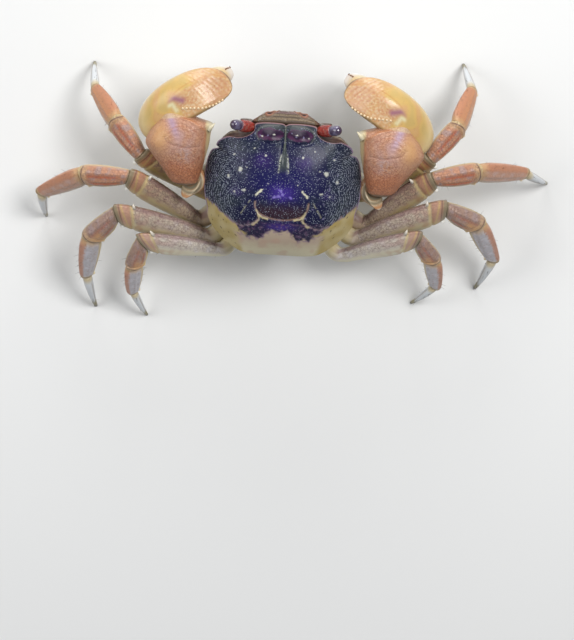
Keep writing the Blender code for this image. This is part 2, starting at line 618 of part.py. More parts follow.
def make_leg(number, side, hand):
    """A walking leg in four nodes; the merus carries the short ischium that roots it on the sternum."""
    hip = hip_point(number)
    joints = leg_joints(number, side)
    scale = LEG_SCALE[number]
    limbs = [(near - far).normalized() for far, near in zip(joints, joints[1:])]
    for i, segment in enumerate(SEGMENTS):
        start, end = joints[i], joints[i + 1]
        profile = SEGMENT_SIZES[segment]
        turn = SEGMENT_ROLL[segment]
        centres = [start.lerp(end, share) for share, deep, thick in profile]
        sizes = [(deep * scale, thick * scale) for share, deep, thick in profile]
        rolls = [turn] * len(profile)
        start_plane = (start, (limbs[i - 1] + limbs[i]).normalized()) if i else None
        end_plane = (end, (limbs[i] + limbs[i + 1]).normalized()) if i + 1 < len(limbs) else (end, -UP)
        if segment == "merus":
            inner = Vector((hip.x * 0.45, hip.y * 0.8, hip.z - 0.4))
            start_plane = (hip, (hip - inner).normalized())
            bow = start - limbs[0] * (start - hip).length * 0.45
            ischium = [hip.lerp(bow, share).lerp(bow.lerp(start, share), share)
                       for share, deep, thick in ISCHIUM_SIZES]
            centres = ischium + centres
            sizes = [(deep * scale, thick * scale) for share, deep, thick in ISCHIUM_SIZES] + sizes
            rolls = [turn * share * 0.8 for share, deep, thick in ISCHIUM_SIZES] + rolls
        if segment == "dactyl":
            depth, across = frame_at(limbs[i])
            centres = [centre + depth * DACTYL_BOW * scale * 4 * share * (1 - share)
                       for centre, (share, deep, thick) in zip(centres, profile)]
            end_plane = (end - UP * JOINT, -UP)
        bm = limb(centres, sizes, start_plane, end_plane, rolls)
        colour = {"merus": "leg_lilac", "dactyl": "dactyl_amber"}.get(segment, "leg_orange")
        item = place("leg_%d_%s_%s" % (number, side, segment), bm, colour, hand)
        if segment == "merus":
            share, height, radius = MERUS_SPINE
            depth, across = frame_at(limbs[i], turn)
            edge = start.lerp(end, share) + depth * ramp(share, [row[:2] for row in profile]) / 2 * scale
            root_point = edge - depth * 0.6 - limbs[i] * 0.5
            tip_point = edge + depth * (height - 0.6) + limbs[i] * 0.7
            merge(item, [make_spike(root_point, tip_point, radius, colour, hand)])


def claw_point(across, height, out):
    """A point of the left claw: across its face towards the midline, up it, and proud of it."""
    inward = Vector((-math.cos(PALM_BEARING), -math.sin(PALM_BEARING), 0.0))
    outward = Vector((math.sin(PALM_BEARING), -math.cos(PALM_BEARING), 0.0))
    bend = -PALM_BEND * (across - PALM_MIDDLE) ** 2
    return PALM_ORIGIN + inward * across + outward * (bend + out) + UP * height


def claw_rings(sections):
    """Sections of a palm or finger, each laid from its inner to its outer edge."""
    rings = []
    for inner, inner_height, outer, outer_height, arch, back, front in sections:
        ring = []
        for across, rise in oval(CLAW_RING_POINTS, 2.5):
            share = (across + 1) / 2
            place_across = outer + (inner - outer) * share
            height = outer_height + (inner_height - outer_height) * share + arch * (1 - across ** 2)
            ring.append(claw_point(place_across, height, (back + front + rise * (front - back)) / 2))
        rings.append(ring)
    return rings


def crest_height(across):
    """Height of the top of the palm at a place across it."""
    inner, inner_height, outer, outer_height, arch, back, front = PALM_SECTIONS[0]
    share = (across - outer) / (inner - outer)
    return outer_height + (inner_height - outer_height) * share + arch * (1 - (2 * share - 1) ** 2)


def make_crest(hand):
    """The comb on top of the palm: a row of beads along its inner margin and oblique flutes beside it."""
    parts = []
    count, first, last, radius = BEADS
    for step in range(count):
        across = first + (last - first) * step / (count - 1)
        out = ramp(across, BEAD_ROW)
        drop = 0.5 * max(0.0, PALM_SECTIONS[0][5] - out)
        spot = claw_point(across, crest_height(across) - drop, out)
        parts.append(make_bead(spot, radius, "palm_ochre", hand))
    count, first, last, width = FLUTES
    for step in range(count):
        across = first + (last - first) * step / (count - 1)
        ends = [claw_point(across + lean, crest_height(across) - 0.1, out)
                for lean, out in zip((FLUTE_TILT / 2, -FLUTE_TILT / 2), FLUTE_SPAN)]
        axis = ends[1] - ends[0]
        bm = bmesh.new()
        bmesh.ops.create_uvsphere(bm, u_segments=6, v_segments=4, radius=1.0)
        bmesh.ops.scale(bm, vec=(width, width * 1.2, axis.length / 2), verts=bm.verts)
        turn = axis.to_track_quat("Z", "Y").to_matrix().to_4x4()
        bmesh.ops.transform(bm, matrix=Matrix.Translation((ends[0] + ends[1]) / 2) @ turn, verts=bm.verts)
        parts.append(place("flute", bm, "palm_ochre", hand))
    return parts


def make_cheliped(side, hand):
    """A cheliped in four nodes: merus with ischium, carpus, palm with its fixed finger, and finger."""
    inner = Vector((CLAW_HIP.x * 0.45, CLAW_HIP.y * 0.8, CLAW_HIP.z - 0.4))
    root_direction = (CLAW_HIP - inner).normalized()
    carpus_direction = Vector((0.25, -0.93, 0.25)).normalized()
    merus_direction = (CLAW_ELBOW - CLAW_HIP).normalized()
    centres = [CLAW_HIP.lerp(CLAW_ELBOW, share) for share, deep, thick in CLAW_MERUS_SIZES]
    sizes = [(deep, thick) for share, deep, thick in CLAW_MERUS_SIZES]
    bend = (merus_direction + carpus_direction).normalized()
    bm = limb(centres, sizes, (CLAW_HIP, root_direction), (CLAW_ELBOW, bend), [20] * len(centres), 16)
    merus = place("cheliped_%s_merus" % side, bm, "leg_lilac", hand)

    rings = []
    for y, near, far, top, bottom in CARPUS_SECTIONS:
        ring = []
        for across, rise in oval(18, 2.5):
            middle = (top + bottom) / 2
            squeeze = 1.0 if rise > 0 else 1.0 - 0.3 * rise ** 2
            x = (near + far) / 2 + across * squeeze * (far - near) / 2
            ring.append(Vector((x, y, middle + rise * (top - bottom) / 2)))
        rings.append(ring)
    carpus = place("cheliped_%s_carpus" % side, loft(rings), "carpus_orange", hand)
    spine_root, spine_tip, spine_radius = CARPUS_SPINE
    merge(carpus, [make_spike(spine_root, spine_tip, spine_radius, "carpus_orange", hand)])
    palm = place("cheliped_%s_palm" % side, loft(claw_rings(PALM_SECTIONS)), "palm_ochre", hand)
    teeth = [make_bead(claw_point(across, height, 0.4), radius, "palm_ochre", hand)
             for across, height, radius in TEETH]
    merge(palm, make_crest(hand) + teeth)
    finger = place("cheliped_%s_finger" % side, loft(claw_rings(FINGER_SECTIONS)), "finger_ivory", hand)
    nodules = [make_bead(claw_point(across, height, 0.3), radius, "finger_ivory", hand)
               for across, height, radius in NODULES]
    merge(finger, nodules)
    for target, neighbour in ((carpus, palm), (carpus, merus), (finger, palm)):
        clear(target, neighbour)


def clear_crowded(side):
    """Cut the crowded bases of the limbs clear of what they pass."""
    names = crab.objects
    for target, neighbour in CROWDED:
        clear(names[target.format(side)], names[neighbour.format(side)], CROWDED_GAP)


def stand_on_origin():
    """Put the middle of the footprint on the origin by moving the root."""
    corners = [vert.co for item in crab.objects if item.type == "MESH" for vert in item.data.vertices]
    lows = [min(corner[axis] for corner in corners) for axis in range(3)]
    highs = [max(corner[axis] for corner in corners) for axis in range(3)]
    root.location = (-(lows[0] + highs[0]) / 2, -(lows[1] + highs[1]) / 2, -lows[2])


clear_scene()
crab = bpy.data.collections.new("sarmatium_germaini")
bpy.context.scene.collection.children.link(crab)
cutters = bpy.data.collections.new("cutters")
bpy.context.scene.collection.children.link(cutters)
root = bpy.data.objects.new("crab_root", None)
crab.objects.link(root)

make_carapace()
make_face()
make_sternum()
make_pleon()
for side_name, side_hand in (("left", 1), ("right", -1)):
    make_maxilliped("maxilliped_" + side_name, side_hand)
    make_eye(side_name, side_hand)
    make_antenna("antenna_" + side_name, side_hand)
    make_cheliped(side_name, side_hand)
    for leg_number in LEGS:
        make_leg(leg_number, side_name, side_hand)
    clear_crowded(side_name)
stand_on_origin()
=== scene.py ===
"""Looks of a life-size still model of a Sarmatium germaini crab, an adult male on its eight walking legs.

Sizes are millimetres in the animal's own frame: it faces -Y, its left side is +X, the floor is z = 0,
and x = y = 0 is the middle of the carapace. place() turns them into the model's metres.
"""

import json
import math

import bmesh
import bpy
import numpy as np
from mathutils import Matrix, Vector, noise

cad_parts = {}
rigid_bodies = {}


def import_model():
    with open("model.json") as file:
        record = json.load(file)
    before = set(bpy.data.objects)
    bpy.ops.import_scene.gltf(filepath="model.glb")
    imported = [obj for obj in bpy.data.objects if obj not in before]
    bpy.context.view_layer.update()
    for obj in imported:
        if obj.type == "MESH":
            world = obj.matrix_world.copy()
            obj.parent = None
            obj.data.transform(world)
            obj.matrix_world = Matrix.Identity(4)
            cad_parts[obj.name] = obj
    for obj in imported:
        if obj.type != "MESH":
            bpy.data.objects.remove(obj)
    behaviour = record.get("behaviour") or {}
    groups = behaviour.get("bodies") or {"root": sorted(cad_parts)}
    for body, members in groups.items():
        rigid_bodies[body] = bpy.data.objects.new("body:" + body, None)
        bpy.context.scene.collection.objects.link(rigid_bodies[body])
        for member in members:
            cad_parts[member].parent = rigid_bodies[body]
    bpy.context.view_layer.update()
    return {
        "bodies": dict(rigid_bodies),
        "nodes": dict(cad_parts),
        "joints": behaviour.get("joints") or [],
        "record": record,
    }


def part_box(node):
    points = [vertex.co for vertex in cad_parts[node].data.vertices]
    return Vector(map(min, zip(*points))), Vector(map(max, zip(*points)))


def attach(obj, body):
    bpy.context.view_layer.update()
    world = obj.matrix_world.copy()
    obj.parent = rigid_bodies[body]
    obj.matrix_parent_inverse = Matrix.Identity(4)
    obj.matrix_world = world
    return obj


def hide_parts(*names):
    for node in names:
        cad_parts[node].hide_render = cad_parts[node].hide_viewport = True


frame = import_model()

# Carapace
# The hard back of the animal with its side walls in one, a blue-violet chitin shell of fine pale
# granules. It is one closed shell: a ball of quads whose rings are laid on the margin and the lower rim.
MARGIN = (
    (0.0, -15.0, 31.0), (0.9, -15.4, 31.0), (3.6, -15.5, 31.1), (5.6, -15.4, 31.2), (7.0, -15.0, 31.2),
    (7.2, -13.5, 31.6), (8.6, -12.3, 31.9), (10.8, -11.7, 31.8), (13.1, -11.8, 31.0),
    (15.1, -10.7, 29.6), (15.7, -9.45, 28.6), (15.1, -8.8, 28.3), (16.5, -8.35, 27.6), (17.2, -7.3, 27.0),
    (17.7, -5.6, 26.4), (18.0, -3.5, 25.9), (18.15, -1.0, 25.5), (18.1, 1.0, 25.2), (17.75, 3.2, 25.0),
    (17.2, 5.4, 24.8), (16.9, 7.5, 24.6), (15.8, 9.7, 24.5), (13.8, 11.9, 24.8), (10.8, 14.2, 25.4),
    (8.5, 15.3, 25.8), (5.6, 15.6, 26.2), (2.8, 15.6, 26.4), (0.0, 15.6, 26.5),
)
DOME_TOP = 34.6
DOME_FALL = 3.1
SHELL_FLOOR = 15.5
FRONT_RIM = -9.5
RIM_NARROWING = ((-15.0, 1.0), (-9.0, 0.92), (-5.5, 0.63), (4.0, 0.56), (12.0, 0.66), (15.6, 0.75))
RIM_SHORTENING = ((-15.0, 0.62), (-9.5, 0.82), (0.0, 1.0), (9.0, 0.92), (15.6, 0.79))
SIDE_CURVE = ((-9.5, 1.0), (-7.0, 0.62), (8.0, 0.62), (15.6, 1.0))
ORBIT_SHELF = ((7.0, 0.0), (7.4, 0.9), (8.6, 1.7), (10.8, 2.2), (13.1, 1.6), (15.1, 0.5), (15.8, 0.0))
SHELL_COLUMNS = 440
DOME_ROWS = 130
WALL_ROWS = 60
FLOOR_ROWS = 18

carapace_low, carapace_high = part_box("carapace")
SHIFT = np.array(((carapace_low.x + carapace_high.x) / 2, carapace_high.y - 0.0156, 0.0))


def curve(stops, at):
    """Read rows of (place, values) at other places, in smooth runs through every row."""
    rows = np.array(stops, float)
    spots = rows[:, 0]
    values = rows[:, 1:]
    slope = np.gradient(values, spots, axis=0)
    at = np.clip(at, spots[0], spots[-1])
    low = np.clip(np.searchsorted(spots, at, side="right") - 1, 0, len(spots) - 2)
    span = (spots[low + 1] - spots[low])[..., None]
    t = (at - spots[low])[..., None] / span
    start = values[low] * (2 * t**3 - 3 * t**2 + 1) + values[low + 1] * (3 * t**2 - 2 * t**3)
    return start + span * (slope[low] * (t**3 - 2 * t**2 + t) + slope[low + 1] * (t**3 - t**2))


def ramp(value, stops):
    """Read (place, amount) stops in straight runs."""
    places, amounts = zip(*stops)
    return np.interp(value, places, amounts)


def step(value, low, high):
    """0 below low, 1 above high, and a soft rise between; the two may be the other way round."""
    t = np.clip((value - low) / (high - low), 0.0, 1.0)
    return t * t * (3 - 2 * t)


def cloud(points, size, seed=0.0):
    """Soft noise between -1 and 1 at points in millimetres, with lumps of a size."""
    return np.array([noise.noise(Vector(point) / size + Vector((seed, seed, seed))) for point in points])


def bell(value, middle, width):
    """1 at a middle value, fading to 0 over its half width."""
    return np.exp(-((value - middle) / width) ** 2)


def blot(x, y, spot, size):
    """1 at a spot, fading to 0 over its two half widths."""
    return np.exp(-((x - spot[0]) / size[0]) ** 2 - ((y - spot[1]) / size[1]) ** 2)


def numbered(rows):
    """Rows with their own number in front, as curve() reads them."""
    return [(i, *row) for i, row in enumerate(rows)]


def bent(line):
    """A broken line with its corners rounded, as many short runs."""
    return curve(numbered(line), np.linspace(0, len(line) - 1, 5 * len(line)))


def stroke(x, y, line, width):
    """1 along a broken line, fading to 0 over its half width."""
    nearest = np.full(len(x), 1e9)
    for (ax, ay), (bx, by) in zip(line, line[1:]):
        along = ((x - ax) * (bx - ax) + (y - ay) * (by - ay)) / ((bx - ax) ** 2 + (by - ay) ** 2)
        along = np.clip(along, 0.0, 1.0)
        nearest = np.minimum(nearest, np.hypot(x - ax - along * (bx - ax), y - ay - along * (by - ay)))
    return np.exp(-(nearest / width) ** 2)


def even(colour, like):
    """One colour for as many points as a row of values has."""
    return np.tile(np.array(colour), (len(like), 1))


def tinted(base, colour, share):
    """Lay a colour over another by a share for each point."""
    return base + (np.array(colour) - base) * np.clip(share, 0.0, 1.0)[:, None]


def coated(base, coats):
    """Lay rows of (colour, share) over a colour, each on top of those before it."""
    for colour, share in coats:
        base = tinted(base, colour, share)
    return base


def ball(columns, rows):
    """A ball of quads, and for each vertex its row from the top and its turn round the axis."""
    bm = bmesh.new()
    bmesh.ops.create_uvsphere(bm, u_segments=columns, v_segments=rows, radius=1.0)
    mesh = bpy.data.meshes.new("ball")
    bm.to_mesh(mesh)
    bm.free()
    spots = points_of(mesh)
    down = np.rint(np.arccos(np.clip(spots[:, 2], -1, 1)) / math.pi * rows)
    return mesh, down, np.arctan2(spots[:, 0], -spots[:, 1])


def points_of(mesh):
    spots = np.empty(len(mesh.vertices) * 3)
    mesh.vertices.foreach_get("co", spots)
    return spots.reshape(-1, 3)


def keep(mesh, name, values):
    """Store vectors, or colours with the strength of their veins as a fourth value, on a mesh's points."""
    if name == "tint":
        layer = mesh.attributes.new(name, "FLOAT_COLOR", "POINT")
        if values.shape[1] == 3:
            values = np.column_stack([values, np.ones(len(values))])
        layer.data.foreach_set("color", np.clip(values, 0.0, 1.0).ravel())
    else:
        layer = mesh.attributes.new(name, "FLOAT_VECTOR", "POINT")
        layer.data.foreach_set("vector", values.ravel())


def place(name, mesh, points, finish, nodes, hand=1):
    """Lay a mesh on its points, and let the piece stand for its CAD nodes; hand -1 mirrors it."""
    spots = points * (hand * 0.001, 0.001, 0.001) + SHIFT
    mesh.vertices.foreach_set("co", spots.ravel())
    bm = bmesh.new()
    bm.from_mesh(mesh)
    bmesh.ops.recalc_face_normals(bm, faces=bm.faces)
    if bm.calc_volume(signed=True) < 0:
        bmesh.ops.reverse_faces(bm, faces=bm.faces)
    bm.to_mesh(mesh)
    bm.free()
    mesh.name = name
    mesh.materials.append(finish.material)
    mesh.shade_smooth()
    piece = bpy.data.objects.new(name, mesh)
    bpy.context.scene.collection.objects.link(piece)
    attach(piece, "root")
    if nodes:
        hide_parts(*nodes)


class Wire:
    """The output of a shader node; sums and products of wires add Math nodes."""

    def __init__(self, finish, socket):
        self.finish = finish
        self.socket = socket

    def __add__(self, other):
        return self.finish.maths("ADD", self, other)

    def __radd__(self, other):
        return self.finish.maths("ADD", other, self)

    def __sub__(self, other):
        return self.finish.maths("SUBTRACT", self, other)

    def __rsub__(self, other):
        return self.finish.maths("SUBTRACT", other, self)

    def __mul__(self, other):
        return self.finish.maths("MULTIPLY", self, other)

    def __rmul__(self, other):
        return self.finish.maths("MULTIPLY", other, self)


class Finish:
    """A Principled material and the nodes that drive it."""

    def __init__(self, name):
        self.material = bpy.data.materials.new(name)
        self.material.use_nodes = True
        self.tree = self.material.node_tree
        self.shader = self.tree.nodes["Principled BSDF"]

    def node(self, kind, settings=None, sockets=None, output=0):
        """Add a node with its settings, then the values or wires of its sockets."""
        item = self.tree.nodes.new(kind)
        for key, value in (settings or {}).items():
            setattr(item, key, value)
        for key, value in (sockets or {}).items():
            self.plug(item.inputs[key], value)
        return Wire(self, item.outputs[output])

    def plug(self, socket, value):
        if isinstance(value, Wire):
            self.tree.links.new(value.socket, socket)
        elif socket.type == "RGBA":
            socket.default_value = (*value, 1.0)
        else:
            socket.default_value = value

    def maths(self, operation, first, second):
        return self.node("ShaderNodeMath", {"operation": operation}, {0: first, 1: second})

    def rise(self, value, low, high):
        """0 to 1 as a value goes from low to high, with soft ends."""
        return self.node("ShaderNodeMapRange", {"interpolation_type": "SMOOTHSTEP"},
                         {"Value": value, "From Min": low, "From Max": high})

    def mix(self, first, second, share, blend="MIX"):
        return self.node("ShaderNodeMix", {"data_type": "RGBA", "blend_type": blend},
                         {"Factor": share, 6: first, 7: second}, 2)

    def mottle(self, colour, grain, share):
        """A colour that a grain makes lighter and darker by a share."""
        grey = (0.5, 0.5, 0.5)
        return self.mix(colour, grey, grain * share, "SOFT_LIGHT")

    def part(self, where, number):
        """One of the three numbers of a vector."""
        return self.node("ShaderNodeSeparateXYZ", None, {"Vector": where}, number)

    def stored(self, name, output=None):
        """A colour or vector kept on the mesh's points; output 3 is the fourth value of a colour."""
        if output is None:
            output = 0 if name == "tint" else 1
        return self.node("ShaderNodeAttribute", {"attribute_name": name}, output=output)

    def place(self):
        return self.node("ShaderNodeTexCoord", output=3)

    def lumps(self, where, size, detail=2.0):
        """Noise with lumps of a size in millimetres; where is in metres, or in millimetres if stored."""
        return self.node("ShaderNodeTexNoise", None, {"Vector": where, "Scale": 1 / size, "Detail": detail})

    def cells(self, where, size, feature="F1", output=0):
        """Distance to the nearest of many scattered points, in cells of a size; output 1 is its colour."""
        return self.node("ShaderNodeTexVoronoi", {"feature": feature},
                         {"Vector": where, "Scale": 1 / size}, output)

    def wave(self, value, length):
        """0 to 1 and back over each length."""
        return self.maths("SINE", value * (2 * math.pi / length), 0.0) * 0.5 + 0.5

    def set(self, **sockets):
        for key, value in sockets.items():
            self.plug(self.shader.inputs[key.replace("_", " ")], value)

    def bump(self, height, depth):
        """Raise the surface by a height of 0 to 1 over a depth in millimetres."""
        normal = self.node("ShaderNodeBump", None, {"Height": height, "Distance": depth * 0.001,
                                                    "Strength": 1.0})
        self.plug(self.shader.inputs["Normal"], normal)


NAVY = (0.006, 0.007, 0.034)
SLATE = (0.013, 0.019, 0.032)
VIOLET = (0.036, 0.016, 0.120)
CARDIAC_ARC = bent(((-6.2, 2.3), (-5.9, 4.0), (-4.6, 5.5), (-1.2, 6.35), (2.1, 6.15), (4.9, 5.1), (6.0, 3.6),
                    (6.0, 2.4)))
HIND_SEAM = bent(((5.0, 6.4), (6.2, 7.5), (8.4, 8.5), (10.0, 8.2), (11.7, 7.3), (14.2, 5.6)))
LOBE_CURL = bent(((1.4, -15.0), (4.4, -14.8), (6.0, -14.1), (6.6, -12.9), (6.0, -11.6)))
PRONG = bent(((0.45, -9.8), (0.85, -7.6), (1.15, -4.6)))
BROW_GROOVE = bent(((0.8, -11.4), (3.4, -10.9), (5.8, -11.4), (6.8, -12.6), (6.4, -13.6)))
GASTRIC_GROOVE = bent(((1.1, -4.7), (3.4, -2.8), (5.2, 0.0), (5.9, 2.5)))
CERVICAL_GROOVE = bent(((14.0, -5.4), (11.6, -3.4), (8.4, 1.4), (7.5, 2.7), (9.2, 5.3)))
ORBIT_BROW = bent(((7.6, 28.0), (11.0, 28.3), (14.6, 28.2)))
PALE_SPOTS = (
    # place and half widths of the pale patches, the same on both sides
    ((4.25, -8.15), (0.34, 0.32)), ((9.85, -4.65), (0.62, 0.7)), ((12.45, -2.7), (0.42, 0.6)),
    ((8.9, 0.0), (0.55, 0.32)), ((2.6, -13.0), (0.26, 0.2)), ((5.3, -12.5), (0.26, 0.2)),
    ((8.3, -5.2), (0.26, 0.24)), ((11.4, -7.9), (0.3, 0.26)), ((6.9, -9.6), (0.22, 0.2)),
    ((10.9, 0.6), (0.34, 0.28)), ((3.4, -1.9), (0.18, 0.18)),
)
MOUTH_FRAME = bent(((0.0, 25.8), (1.4, 26.3), (2.8, 26.3), (4.8, 26.3), (5.9, 25.5), (6.2, 24.0),
                    (6.25, 20.5), (6.05, 17.5), (5.8, 15.8)))
GRATED = (11.3, 22.1)     # middle of the grated field beside the mouth, x and z
GRATED_SIZE = (5.1, 4.7)
GRANULE_PITCH = 0.00037


def smoothed(rows, rounds=4):
    """A row of points with its notches smoothed away, its ends kept."""
    for _ in range(rounds):
        rows = np.concatenate([rows[:1], (rows[:-2] + 2 * rows[1:-1] + rows[2:]) / 4, rows[-1:]])
    return rows


def shell_points(turn, down):
    """Points of the shell block by column and row."""
    index = np.abs(turn) / math.pi * (len(MARGIN) - 1)
    margin = np.array(MARGIN)
    soft = smoothed(margin)
    lower = smoothed(np.stack([margin[:, 0] * ramp(margin[:, 1], RIM_NARROWING),
                               margin[:, 1] * ramp(margin[:, 1], RIM_SHORTENING)], axis=1))
    front = (margin[:, 0] < 7.1) & (margin[:, 1] < 0)
    lower[front, 1] = FRONT_RIM
    numbers = np.arange(len(MARGIN))[:, None]
    edge = curve(np.hstack([numbers, margin]), index)
    calm = curve(np.hstack([numbers, soft]), index)
    rim = curve(np.hstack([numbers, lower]), index)

    share = np.sin(np.minimum(down / DOME_ROWS, 1.0) * math.pi / 2)
    near = calm + (edge - calm) * (share ** 9)[:, None]
    x = near[:, 0] * share
    y = near[:, 1] * share
    z = DOME_TOP - (DOME_TOP - near[:, 2]) * share ** DOME_FALL
    side = np.where(turn < 0, -1.0, 1.0)

    part = np.clip((down - DOME_ROWS) / WALL_ROWS, 0.0, 1.0)
    wall = part > 0
    wx = edge[:, 0] + (rim[:, 0] - edge[:, 0]) * part ** ramp(edge[:, 1], SIDE_CURVE)
    wy = edge[:, 1] + (rim[:, 1] - edge[:, 1]) * part
    shelf = ramp(edge[:, 0], ORBIT_SHELF) * ramp(part, ((0.1, 0.0), (0.24, 1.0), (1.0, 0.0)))
    wy = wy - np.where(edge[:, 1] < -9.0, shelf, 0.0)
    wz = edge[:, 2] + (SHELL_FLOOR - edge[:, 2]) * part
    inward = 1 - np.clip((down - DOME_ROWS - WALL_ROWS) / FLOOR_ROWS, 0.0, 1.0)
    x = np.where(wall, wx * inward, x)
    y = np.where(wall, wy * inward, y)
    z = np.where(wall, wz, z)
    return np.stack([x * side, y, z], axis=1), share, part


def carapace_relief(x, y):
    """Height of the lobes and grooves of the back at a place in plan."""
    ax = np.abs(x)
    lobes = 0.7 * blot(ax, y, (3.4, -12.6), (2.2, 1.6))
    middle = 0.7 * bell(x, 0.0, 0.5) * ramp(y, ((-15.4, 0.4), (-13.0, 1.0), (-11.0, 1.0), (-6.0, 0.0)))
    fork = stroke(ax, y, PRONG, 0.3) * 0.12
    brow = stroke(ax, y, BROW_GROOVE, 0.4) * 0.2
    gastric = stroke(ax, y, GASTRIC_GROOVE, 0.6) * 0.07
    cervical = stroke(ax, y, CERVICAL_GROOVE, 0.5) * 0.12
    arc = stroke(x, y, CARDIAC_ARC, 0.35) * 0.3
    hind = stroke(ax, y, HIND_SEAM, 0.35) * 0.18
    return lobes - middle - fork - brow - gastric - cervical - arc - hind


def grated_share(ax, z):
    """0 in the middle of the grated field and 1 on its rounded edge."""
    across = np.abs((ax - GRATED[0]) / GRATED_SIZE[0])
    up = np.abs((z - GRATED[1]) / GRATED_SIZE[1])
    return across ** 3.5 + up ** 3.5


def wall_relief(x, z):
    """How far the ridges of the front wall stand out."""
    ax = np.abs(x)
    frame = stroke(ax, z, MOUTH_FRAME, 0.22)
    brow = stroke(ax, z, ORBIT_BROW, 0.25)
    field = 0.45 * np.sqrt(np.clip(1 - grated_share(ax, z), 0.0, 1.0))
    inside = step(ax, 6.2, 5.6) * step(z, 26.0, 25.2) * -0.35
    return 0.4 * frame + 0.3 * brow + field + inside


